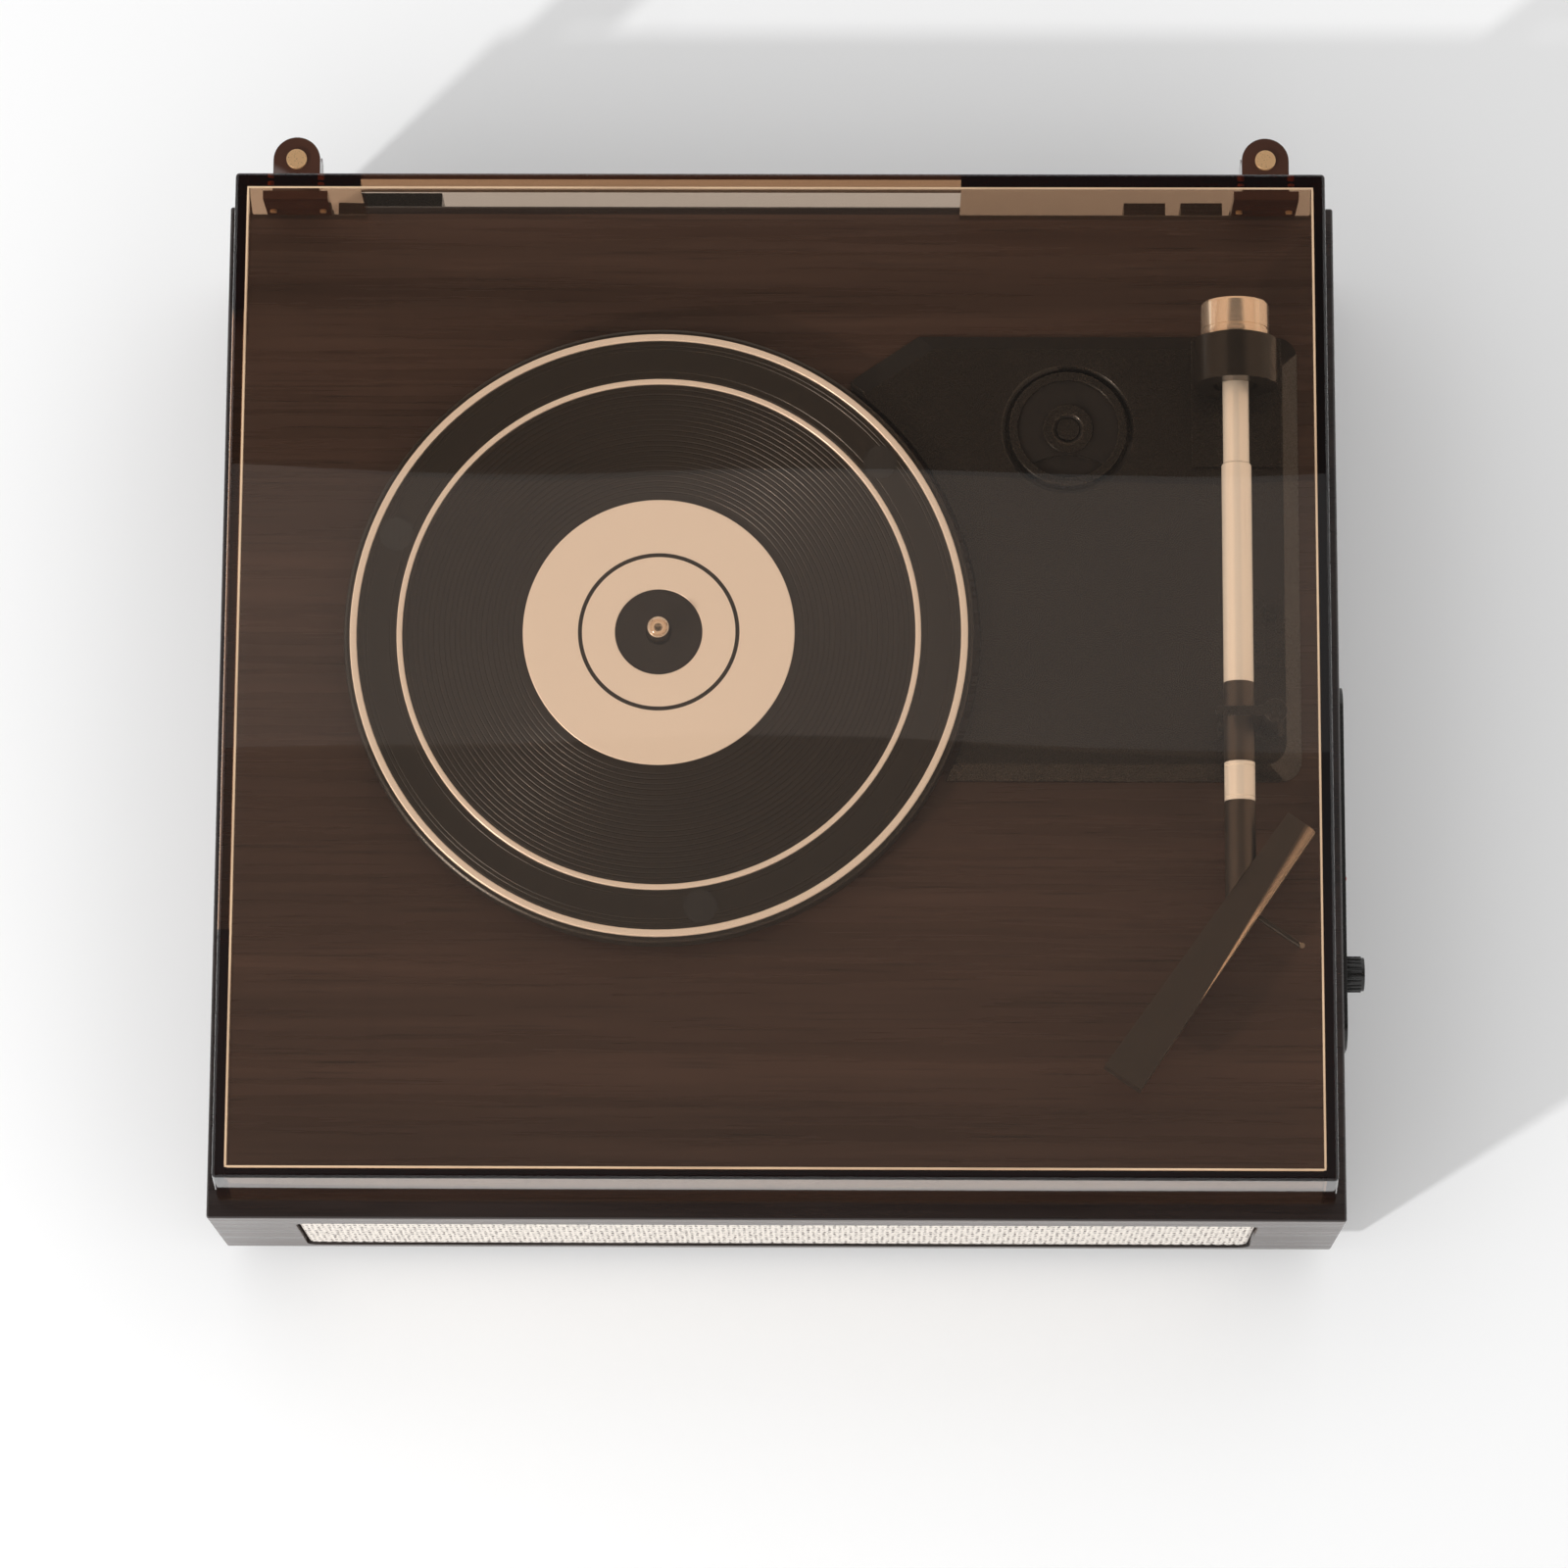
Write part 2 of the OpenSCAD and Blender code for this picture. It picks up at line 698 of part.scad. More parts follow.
module small_screws() color("silver") {
  each_speaker() speaker_screw_places() translate([0, flange_t, 0]) rotate([90, 0, 0])
    screw(small_screw_r, flange_t + small_screw_hold - screw_tip_gap, small_head_r, small_head_h);
  motor_screw_places() translate([0, 0, under_deck - motor_ear_t])
    screw(small_screw_r, motor_ear_t + small_screw_hold - screw_tip_gap, small_head_r, small_head_h);
}

// Amplifier
module on_board(x, y, z) at(board_at + [x, y], z) children();
module post_places() for (x = [-1, 1], y = [-1, 1])
  on_board(x * (board[0] / 2 - post_inset), y * (board[1] / 2 - post_inset), base_top) children();

module amplifier_board() color("darkgreen") on_board(-board[0] / 2, -board[1] / 2, board_z) cube(board);

module board_parts() color("dimgray") {
  top = board_z + board[2];
  for (i = [0, 1]) on_board(-board[0] / 3 + i * 3 * cap_r, board[1] / 4, top) cylinder(r = cap_r, h = cap_h);
  for (i = [-2:2]) on_board(i * small_cap_pitch - board[0] / 7, -board[1] / 3, top)
    cylinder(r = small_cap_r, h = small_cap_h);
  on_board(0, board[1] / 8, top) {
    cube(sink);
    for (x = [0:fin_pitch:sink[0] - fin_pitch]) translate([x, sink[1], 0]) cube([fin_t, fin_l, sink[2]]);
  }
  on_board(board[0] / 4, -board[1] * 3 / 8, top) cube(relay);
  on_board(-chip[0] / 2, -board[1] / 8, top) cube(chip);
}

module board_posts() color("lightgray") post_places() cylinder(r = post_r, h = post_h);

// Controls on the right side
module control_holes(extra) {
  translate([0, knob_y, control_z]) x_rod(bushing_r + extra, panel_out + 2 * cut);
  translate([0, phones_y, control_z]) x_rod(socket_barrel_r + extra, panel_out + 2 * cut);
  translate([0, lamp_y, control_z]) x_rod(lamp_r + extra, panel_out + 2 * cut);
}

module control_panel() color("black") difference() {
  translate([right, panel_y, control_z]) side_plate(panel_l, panel_h, panel_corner, panel_out);
  translate([right - cut, 0, 0]) control_holes(seat_fit);
}

module volume_control() color("silver") translate([right, knob_y, control_z]) {
  translate([-wall_t - control_body_l, 0, 0]) x_rod(control_body_r, control_body_l);
  translate([-wall_t - cut, 0, 0]) x_rod(bushing_r, wall_t + panel_out + cut);
  x_rod(control_shaft_r, panel_out + knob_gap + knob_l - knob_face - 0.2);
}

module volume_knob() color("black") translate([right + panel_out + knob_gap, knob_y, control_z])
  difference() {
    union() {
      x_rod(knob_r - knob_grip_r, knob_l);
      for (a = [0:18:342]) rotate([a, 0, 0]) translate([0, knob_r - knob_grip_r, 0])
        x_rod(knob_grip_r, knob_l - knob_face);
    }
    translate([-cut, 0, 0]) x_rod(control_shaft_r + run_fit, knob_l - knob_face + cut);
  }

module phones_socket() color("black") translate([right, phones_y, control_z]) difference() {
  union() {
    translate([-wall_t - socket_inside, 0, 0]) x_rod(socket_barrel_r, wall_t + socket_inside + panel_out);
    translate([panel_out, 0, 0]) x_rod(socket_barrel_r + socket_rim, socket_rim_t);
  }
  translate([panel_out + socket_rim_t - jack_depth, 0, 0]) x_rod(jack_r, jack_depth + cut);
}

module power_lamp() color("red") translate([right, lamp_y, control_z]) {
  translate([-wall_t, 0, 0]) x_rod(lamp_r, wall_t + panel_out);
  translate([panel_out, 0, 0]) sphere(lamp_r);
}

// Sockets on the rear
module power_inlet() color("black") translate([-socket_x, rear, socket_z]) {
  difference() {
    union() {
      translate([-inlet_w / 2, 0, -socket_h / 2]) cube([inlet_w, socket_out, socket_h]);
      translate([0, -wall_t, 0]) y_rod(inlet_barrel_r, wall_t + cut);
    }
    translate([0, socket_out - inlet_depth, 0]) y_rod(inlet_hole_r, inlet_depth + cut);
  }
  translate([0, socket_out - inlet_depth - cut, 0]) y_rod(inlet_pin_r, inlet_depth);
}

module line_sockets() color("black") difference() {
  union() {
    each_line_socket() {
      translate([-socket_w / 2, 0, -socket_h / 2]) cube([socket_w, socket_out, socket_h]);
      translate([0, -wall_t - socket_inside, 0]) y_rod(socket_barrel_r, wall_t + socket_inside + cut);
    }
    translate([socket_x - socket_pitch / 2, rear, socket_z - socket_h / 2])
      cube([socket_pitch, socket_bridge_t, socket_h]);
  }
  each_line_socket() translate([0, socket_out - jack_depth, 0]) y_rod(jack_r, jack_depth + cut);
}

// Platter, bearing and drive
module bearing_bush() color("goldenrod") at(spindle, deck_z) difference() {
  union() {
    cylinder(r = bush_flange_r, h = bush_flange_t);
    translate([0, 0, -bush_depth]) cylinder(r = bush_r, h = bush_depth + bush_flange_t);
  }
  translate([0, 0, bush_floor - bush_depth]) cylinder(r = shaft_r + run_fit, h = bush_depth + cut);
}

module motor() color("silver") at(motor, 0) difference() {
  union() {
    translate([0, 0, under_deck - motor_h]) cylinder(r = motor_r, h = motor_h);
    translate([-motor_r - motor_ear, -motor_ear / 2, under_deck - motor_ear_t])
      cube([2 * (motor_r + motor_ear), motor_ear, motor_ear_t]);
    translate([0, 0, under_deck - cut]) cylinder(r = motor_nose_r, h = deck_t + cut);
  }
  translate([0, 0, under_deck - motor_h + motor_floor])
    cylinder(r = motor_shaft_r + run_fit, h = motor_h + deck_t);
  for (s = [-1, 1]) translate([s * (motor_r + motor_ear / 2), 0, under_deck - motor_ear_t - cut])
    cylinder(r = small_screw_r + seat_fit, h = motor_ear_t + 2 * cut);
}

module motor_pulley() color("goldenrod") at(motor, 0) {
  translate([0, 0, belt_z - clear - pulley_rim_t]) rotate_extrude() polygon([
    [0, 0], [pulley_r + pulley_rim, 0], [pulley_r + pulley_rim, pulley_rim_t], [pulley_r, pulley_rim_t],
    [pulley_r, pulley_h - pulley_over], [pulley_r - pulley_over, pulley_h], [0, pulley_h]
  ]);
  translate([0, 0, under_deck - motor_h + motor_floor + clear])
    cylinder(r = motor_shaft_r, h = belt_z - under_deck + motor_h - motor_floor - clear);
}

module belt_outline(extra) hull() {
  at(spindle) circle(r = belt_ring_r + clear + extra, $fn = 96);
  at(motor) circle(r = pulley_r + clear + extra, $fn = 32);
}

module belt() color("dimgray") translate([0, 0, belt_z]) linear_extrude(belt_h) difference() {
  belt_outline(belt_t);
  belt_outline(0);
}

module platter() color("black") at(spindle, 0) difference() {
  rotate_extrude($fn = 128) polygon([
    [0, hub_z], [hub_r, hub_z], [hub_r, disc_z],
    [belt_ring_r - belt_ring_t, disc_z], [belt_ring_r - belt_ring_t, skirt_z + 0.5],
    [belt_ring_r, skirt_z + 0.5], [belt_ring_r, disc_z],
    [platter_r - skirt_t, disc_z], [platter_r - skirt_t, skirt_z],
    [platter_r - platter_edge, skirt_z], [platter_r, skirt_z + platter_edge],
    [platter_r, platter_z - platter_edge], [platter_r - platter_edge, platter_z],
    [outer_ring_r - ring_w - ring_channel, platter_z], [outer_ring_r - ring_w - ring_channel, mat_z],
    [inner_ring_r + ring_channel, mat_z], [inner_ring_r + ring_channel, platter_z], [0, platter_z]
  ]);
  translate([0, 0, deck_z]) cylinder(r = shaft_r + seat_fit, h = platter_rise + cut);
  for (a = pad_angles) rotate(a) translate([pad_ring, 0, mat_z - pad_seat])
    cylinder(r = pad_r + seat_fit, h = pad_seat + cut);
}

module trim_ring(r, w) at(spindle, platter_z) difference() {
  cylinder(r = r, h = mat_t + ring_proud, $fn = 128);
  translate([0, 0, -cut]) cylinder(r = r - w, h = mat_t + 2 * cut, $fn = 128);
}
module outer_ring() color("tan") trim_ring(outer_ring_r, ring_w);
module inner_ring() color("tan") trim_ring(inner_ring_r, inner_ring_w);

module platter_mat() color("dimgray") at(spindle, platter_z) difference() {
  cylinder(r = inner_ring_r - inner_ring_w - ring_channel, h = mat_t, $fn = 128);
  translate([0, 0, -cut]) cylinder(r = spindle_r + clear, h = mat_t + 2 * cut);
}

module record_pads() color("dimgray") at(spindle, mat_z - pad_seat) for (a = pad_angles) rotate(a)
  translate([pad_ring, 0, 0]) cylinder(r = pad_r, h = pad_h);

module label_disc() color("tan") at(spindle, mat_z) difference() {
  cylinder(r = label_r, h = label_t, $fn = 128);
  translate([0, 0, -cut]) cylinder(r = label_hole_r, h = label_t + 2 * cut);
}

module spindle() color("silver") at(spindle, 0) {
  collar = mat_z + label_t + 0.2;
  top = mat_z + spindle_rise;
  low = deck_z - bush_depth + bush_floor + clear;
  translate([0, 0, low]) cylinder(r = shaft_r, h = collar - low);
  translate([0, 0, collar]) cylinder(r = spindle_r, h = top - spindle_tip - collar);
  translate([0, 0, top - spindle_tip]) rotate_extrude() intersection() {
    scale(spindle_r / 4) translate([0, -1.3]) circle(r = 4.2);
    square([spindle_r, spindle_tip]);
  }
}

// Arm base
module plate_outline(inset) {
  x1 = pivot[0] + plate_right - inset;
  y0 = pivot[1] - plate_front + inset;
  y1 = pivot[1] + plate_rear - inset;
  x0 = plate_left + inset;
  hull() {
    polygon([[x0, y0], [x0, y1 - plate_chamfer[1]], [x0 + plate_chamfer[0], y1], [x1 - plate_corner_r, y1],
      [x1 - plate_corner_r, y0]]);
    for (y = [y0 + plate_corner_r, y1 - plate_corner_r])
      translate([x1 - plate_corner_r, y]) circle(plate_corner_r, $fn = 32);
  }
}

module arm_plate() color("black") difference() {
  hull() {
    translate([0, 0, deck_z]) linear_extrude(1) plate_outline(0);
    translate([0, 0, plate_top - 0.1]) linear_extrude(0.1) plate_outline(plate_bevel);
  }
  at(spindle, deck_z - cut) cylinder(r = platter_r + plate_gap, h = plate_h + 2 * cut, $fn = 128);
  at(pivot, deck_z - cut) cylinder(r = boss_r + seat_fit, h = plate_h + 2 * cut);
  at(adapter, deck_z + recess_floor) difference() {
    union() {
      cylinder(r = recess_r, h = plate_h);
      translate([0, 0, plate_h - recess_floor - recess_chamfer - cut])
        cylinder(r1 = recess_r - cut, r2 = recess_r + recess_chamfer + cut, h = recess_chamfer + 2 * cut);
    }
    translate([0, 0, -cut]) cylinder(r = adapter_hole_r - run_fit, h = plate_h - recess_floor + cut);
  }
  plate_screw_places() translate([0, 0, deck_z - cut])
    cylinder(r = screw_r + seat_fit, h = plate_h - plate_skin + cut);
}

module arm_block() color("black") difference() {
  union() {
    translate([pivot[0] - block_left, pivot[1] - block_front, plate_top])
      cube([block_left + block_right, block_front + block_rear, block_h]);
    at(pivot, under_deck - boss_drop) cylinder(r = boss_r, h = block_top - under_deck + boss_drop);
  }
  at(pivot, under_deck - boss_drop - cut)
    cylinder(r = yaw_r + run_fit, h = block_top - under_deck + boss_drop + 2 * cut);
}

module single_adapter() color("dimgray") at(adapter, deck_z + recess_floor + 0.1) difference() {
  cylinder(r = adapter_r, h = adapter_t);
  translate([0, 0, adapter_t - dish_d]) difference() {
    cylinder(r = dish_r, h = dish_d + cut);
    translate([0, 0, -cut]) cylinder(r = adapter_hub_r, h = dish_d + 3 * cut);
  }
  translate([0, 0, adapter_t - dish_d - hollow_d]) intersection() {
    cylinder(r = dish_r, h = hollow_d + dish_d + cut);
    translate([0, hollow_y, 0]) cylinder(r = hollow_r, h = hollow_d + dish_d + cut);
  }
  translate([0, 0, -cut]) cylinder(r = adapter_hole_r, h = adapter_t + 2 * cut);
  translate([0, 0, adapter_t - hole_flare - cut])
    cylinder(r1 = adapter_hole_r - cut, r2 = adapter_hole_r + hole_flare + cut, h = hole_flare + 2 * cut);
}

module arm_rest() color("black") at(pivot - [0, rest_y], plate_top) {
  saddle = arm_z - sleeve_r - clear - plate_top;
  translate([-rest_left, -rest_w / 2, 0]) cube([rest_left + rest_right, rest_w, rest_foot_h]);
  translate([-rest_left, -rest_w / 4, 0]) cube([2 * rest_left, rest_w / 2, saddle]);
  translate([rest_post_x, 0, 0]) {
    cylinder(r = rest_post_r, h = latch_z - clear - plate_top);
    cylinder(r = latch_pin_r, h = latch_z + latch_t + 0.3 - plate_top);
  }
}

module rest_latch() color("black") at(pivot + [rest_post_x, -rest_y], latch_z) difference() {
  union() {
    cylinder(r = latch_hub_r, h = latch_t);
    translate([latch_w / 2 - latch_l, -latch_w / 2, 0]) cube([latch_l - latch_w / 2, latch_w, latch_t]);
    translate([latch_w / 2 - latch_l, 0, 0]) cylinder(r = latch_w / 2, h = latch_t);
  }
  translate([0, 0, -cut]) cylinder(r = latch_pin_r + run_fit, h = latch_t + 2 * cut);
}

module switch_bezel() color("black") at(pivot + [switch_x, -switch_y], plate_top) difference() {
  slot_l = switch_travel + switch_l + 2 * clear;
  translate([-bezel_w / 2, switch_l / 2 + clear + bezel_rim - slot_l - 2 * bezel_rim, 0])
    cube([bezel_w, slot_l + 2 * bezel_rim, bezel_h]);
  translate([-switch_w / 2 - clear, switch_l / 2 + clear - slot_l, -cut])
    cube([switch_w + 2 * clear, slot_l, bezel_h + 2 * cut]);
}

module speed_switch() color("gray") at(pivot + [switch_x, -switch_y], plate_top + 0.1) difference() {
  translate([-switch_w / 2, -switch_l / 2, 0]) cube([switch_w, switch_l, switch_h]);
  for (y = [-switch_pitch, 0, switch_pitch])
    translate([-switch_w, y - switch_groove / 2, switch_h - switch_groove])
      cube([2 * switch_w, switch_groove, cut]);
}

// Tonearm
module pivot_housing() color("black") difference() {
  union() {
    translate([pivot[0], housing_front, arm_z]) y_rod(housing_r, housing_l);
    at(pivot, block_top + clear) cylinder(r = housing_foot_r, h = arm_z - block_top - clear);
  }
  translate([pivot[0], housing_front - cut, arm_z]) y_rod(cavity_r, housing_l + 2 * cut);
  translate([pivot[0] - housing_r - cut, pivot[1], arm_z])
    x_rod(pivot_pin_r + seat_fit, 2 * (housing_r + cut));
  at(pivot, block_top) cylinder(r = yaw_r + seat_fit, h = clear + yaw_socket + 0.1);
}

module yaw_shaft() color("silver") at(pivot, 0) {
  low = under_deck - boss_drop - clear - yaw_collar_h;
  translate([0, 0, low]) cylinder(r = yaw_collar_r, h = yaw_collar_h);
  translate([0, 0, low]) cylinder(r = yaw_r, h = block_top + clear + yaw_socket - low);
}

module pivot_pin() color("silver") translate([pivot[0] - housing_r + pin_recess, pivot[1], arm_z])
  x_rod(pivot_pin_r, 2 * (housing_r - pin_recess));

// Rod along the arm, from one distance in front of the pivot to another
module arm_rod(r, from, to) translate([pivot[0], pivot[1] - to, arm_z]) y_rod(r, to - from);

module arm_tube() color("gold") difference() {
  union() {
    arm_rod(hub_rod_r, -hub_rod_l / 2, hub_rod_l / 2);
    arm_rod(core_r, -tail_l, core_end);
    arm_rod(tube_r, tube_start, rest_sleeve_start);
    arm_rod(spigot_r, core_end - cut, spigot_end);
  }
  arm_rod(tube_bore_r, hub_rod_l, core_end - 3);
  translate([pivot[0] - housing_r, pivot[1], arm_z]) x_rod(pivot_pin_r + run_fit, 2 * housing_r);
}

module sleeve(from, to) difference() {
  arm_rod(sleeve_r, from, to);
  arm_rod(core_r + seat_fit, from - cut, to + cut);
}

module arm_sleeves() color("black") {
  sleeve(rest_sleeve_start, collar_start);
  difference() {
    sleeve(neck_start, sleeve_end);
    in_head() translate([0, 0, -head_t]) linear_extrude(3 * head_t) head_outline(seat_fit);
  }
}

module arm_collar() color("gold") sleeve(collar_start, neck_start);

// Frame of the head: its length runs along Y, and the arm's axis crosses it at the origin
module in_head() translate([pivot[0], pivot[1] - head_from_pivot, head_z]) rotate([0, 0, -head_angle])
  children();

module head_outline(extra) polygon([
  [-head_w / 2 - extra, -head_front], [head_w / 2 + extra, -head_front],
  [head_rear_w / 2 + extra, head_back], [-head_rear_w / 2 - extra, head_back]
]);

module pocket(w, l, h) translate([-w / 2, pocket_front - head_front, 0]) cube([w, l, h]);

module headshell() color("black") difference() {
  in_head() difference() {
    linear_extrude(head_t) head_outline(0);
    translate([head_rear_w / 2 - head_bevel_w, head_back, head_t])
      rotate([0, 0, atan2(head_bevel_w, head_bevel_l)]) rotate([0, head_bevel_tilt, 0])
        translate([0, -2 * head_front, 0]) cube([head_w, 3 * head_front, head_t]);
    translate([0, 0, -cut]) pocket(pocket_w, pocket_l, pocket_h + cut);
    translate([finger_x - finger_socket, finger_y, finger_z - head_z])
      x_rod(finger_r + seat_fit, finger_socket + cut);
  }
  arm_rod(spigot_r + seat_fit, core_end - 8, spigot_end + 0.5);
}

module cartridge() color("black") in_head() translate([0, 0, -cartridge_drop])
  translate([0, pocket_gap, 0])
    pocket(pocket_w - 2 * pocket_gap, pocket_l - 2 * pocket_gap, cartridge_drop + pocket_h);

module stylus() color("firebrick") in_head() translate([0, pocket_front - head_front, -cartridge_drop]) {
  translate([-stylus_w / 2, stylus_back, -stylus_h]) cube([stylus_w, stylus_l, stylus_h]);
  translate([0, tip_back, -stylus_h - stylus_tip_h]) cylinder(r1 = 0.2, r2 = 0.5, h = stylus_tip_h);
}

module finger_lift() color("silver") in_head() translate([finger_x, finger_y, finger_z - head_z]) {
  translate([0.1 - finger_socket, 0, 0]) x_rod(finger_r, finger_l + finger_socket);
  translate([finger_l, 0, 0]) sphere(finger_r);
  translate([finger_l, 0, 0]) cylinder(r = finger_r, h = finger_end_h);
}

module counterweight() color("gold") difference() {
  arm_rod(counterweight_r, counterweight_front - counterweight_l, counterweight_front);
  arm_rod(core_r + run_fit, -tail_l - 0.2, 0);
}

// Dust cover and hinges
module tapered_box(x0, x1, y0, y1, z0, z1, lean) hull() {
  translate([x0, y0, z0]) cube([x1 - x0, y1 - y0, 0.01]);
  translate([x0 + lean, y0 + lean, z1 - 0.01]) cube([x1 - x0 - 2 * lean, y1 - y0 - lean, 0.01]);
}

module dust_cover() color("sienna", 0.5) difference() {
  tapered_box(cover_left, cover_right, cover_front, cover_rear, cover_z, cover_z + cover_h, cover_draft);
  tapered_box(cover_left + cover_wall, cover_right - cover_wall, cover_front + cover_wall,
    cover_rear - cover_wall, cover_z - 0.01, cover_z + cover_h - cover_top, cover_draft);
  translate([cover_left - cut, spindle[1] - cut_left_l / 2, cover_z - cut])
    cube([cover_wall + cover_draft + 2 * cut, cut_left_l, cut_h + cut]);
  translate([spindle[0] - cut_rear_l / 2, cover_rear - cover_wall - cut, cover_z - cut])
    cube([cut_rear_l, cover_wall + 2 * cut, cut_h + cut]);
  each_hinge() leaf_screw_places() translate([0, -cover_wall - cut, 0])
    y_rod(small_screw_r + seat_fit, cover_wall + 2 * cut);
}

module hinge_arms() color("saddlebrown") each_hinge() difference() {
  union() {
    translate([-leaf_w / 2, cover_rear, leaf_bottom]) cube([leaf_w, leaf_t, leaf_h]);
    translate([-lug_r, cover_rear, lug_z]) cube([2 * lug_r, hinge_y - cover_rear, lug_t]);
    translate([0, hinge_y, lug_z]) cylinder(r = lug_r, h = lug_t);
    for (x = [-lug_r, lug_r - ear_t]) {
      translate([x, hinge_y, hinge_z]) x_rod(knuckle_r, ear_t);
      translate([x, hinge_y - knuckle_r, hinge_z]) cube([ear_t, knuckle_r, lug_z - hinge_z + 1]);
    }
  }
  translate([-lug_r - cut, hinge_y, hinge_z]) x_rod(hinge_pin_r + run_fit, 2 * (lug_r + cut));
  translate([0, hinge_y, lug_z - cut]) cylinder(r = screw_r + seat_fit, h = lug_t + 2 * cut);
  leaf_screw_places() translate([0, -cut, 0]) y_rod(small_screw_r + seat_fit, leaf_t + 2 * cut);
}

module hinge_screws() color("gold") each_hinge() {
  translate([0, hinge_y, lug_top]) rotate([180, 0, 0])
    screw(screw_r, lug_t - screw_tip_gap, lug_screw_r, lug_screw_h);
  leaf_screw_places() translate([0, leaf_t, 0]) rotate([90, 0, 0])
    screw(small_screw_r, leaf_t + cover_wall - screw_tip_gap, small_head_r, small_head_h);
}

module hinge_brackets() color("dimgray") each_hinge() difference() {
  union() {
    translate([-leaf_w / 2, rear, deck_z - bracket_drop - bracket_h]) cube([leaf_w, bracket_t, bracket_h]);
    translate([-knuckle_l / 2, rear, bracket_arm_z])
      cube([knuckle_l, hinge_back + post_t / 2, bracket_arm_h]);
    translate([-knuckle_l / 2, hinge_y - post_t / 2, bracket_arm_z])
      cube([knuckle_l, post_t, hinge_z - bracket_arm_z]);
    translate([-knuckle_l / 2, hinge_y, hinge_z]) x_rod(knuckle_r, knuckle_l);
  }
  translate([-knuckle_l, hinge_y, hinge_z]) x_rod(hinge_pin_r + seat_fit, 2 * knuckle_l);
  bracket_screw_places() translate([0, -cut, 0]) y_rod(screw_r + seat_fit, bracket_t + 2 * cut);
}

module hinge_pins() color("silver") each_hinge() translate([-lug_r, hinge_y, hinge_z])
  x_rod(hinge_pin_r, 2 * lug_r);

place() front_panel();
place() rear_panel();
place() left_panel();
place() right_panel();
place() deck_panel();
place() base_panel();
place() corner_blocks();
place() wood_screws();
place() feet();
place() grille_board();
place() grille_cloth();
place() left_speaker();
place() right_speaker();
place() speaker_cones();
place() small_screws();
place() amplifier_board();
place() board_parts();
place() board_posts();
place() control_panel();
place() volume_control();
place() volume_knob();
place() phones_socket();
place() power_lamp();
place() power_inlet();
place() line_sockets();
place() bearing_bush();
place() motor();
place() motor_pulley();
place() belt();
place() platter();
place() outer_ring();
place() inner_ring();
place() platter_mat();
place() record_pads();
place() label_disc();
place() spindle();
place() arm_plate();
place() arm_block();
place() single_adapter();
place() arm_rest();
place() rest_latch();
place() switch_bezel();
place() speed_switch();
place() pivot_housing();
place() yaw_shaft();
place() pivot_pin();
place() arm_tube();
place() arm_sleeves();
place() arm_collar();
place() headshell();
place() cartridge();
place() stylus();
place() finger_lift();
place() counterweight();
place() dust_cover();
place() hinge_arms();
place() hinge_screws();
place() hinge_brackets();
place() hinge_pins();
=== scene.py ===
"""Dress a record player: walnut box, gold-trimmed platter, straight tonearm and tinted dust cover."""

import json
import logging
import math
from dataclasses import dataclass
from enum import Enum
from typing import Iterable, Optional, Sequence

import bmesh
import bpy
from mathutils import Matrix, Vector

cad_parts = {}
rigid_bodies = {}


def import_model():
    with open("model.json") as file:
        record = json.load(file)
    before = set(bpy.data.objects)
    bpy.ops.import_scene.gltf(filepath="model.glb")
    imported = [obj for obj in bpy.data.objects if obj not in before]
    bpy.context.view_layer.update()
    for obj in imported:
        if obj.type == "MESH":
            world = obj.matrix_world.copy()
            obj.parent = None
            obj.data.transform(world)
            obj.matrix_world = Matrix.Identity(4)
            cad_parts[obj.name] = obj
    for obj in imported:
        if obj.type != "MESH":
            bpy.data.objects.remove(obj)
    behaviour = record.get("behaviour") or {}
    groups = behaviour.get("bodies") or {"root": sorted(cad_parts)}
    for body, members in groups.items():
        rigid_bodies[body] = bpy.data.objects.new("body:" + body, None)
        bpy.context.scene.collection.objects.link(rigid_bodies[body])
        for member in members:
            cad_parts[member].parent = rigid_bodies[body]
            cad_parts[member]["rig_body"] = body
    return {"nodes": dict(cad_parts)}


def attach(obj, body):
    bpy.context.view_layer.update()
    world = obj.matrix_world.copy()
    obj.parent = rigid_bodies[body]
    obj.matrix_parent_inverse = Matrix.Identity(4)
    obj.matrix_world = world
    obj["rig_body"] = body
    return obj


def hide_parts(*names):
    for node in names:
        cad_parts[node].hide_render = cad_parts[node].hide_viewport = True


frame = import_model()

log = logging.getLogger("record_player")

MM = 0.001
NOISE_LOW, NOISE_HIGH = 0.3, 0.7  # range that most of a noise lies in
SEAM_WELD = 0.002  # mm, joins the triangles of a copied solid
AXIS_WELD = 1e-4  # mm, joins the points of a turned form
COPLANAR = 0.4  # degrees between faces that count as one

Colour = tuple[float, float, float]
Point = tuple[float, float, float]
Span = tuple[float, float]
Outline = Sequence[tuple[float, float]]
Socket = bpy.types.NodeSocket
Face = bmesh.types.BMFace
Edge = bmesh.types.BMEdge
Vert = bmesh.types.BMVert


# ---------------------------------------------------------------- finishes


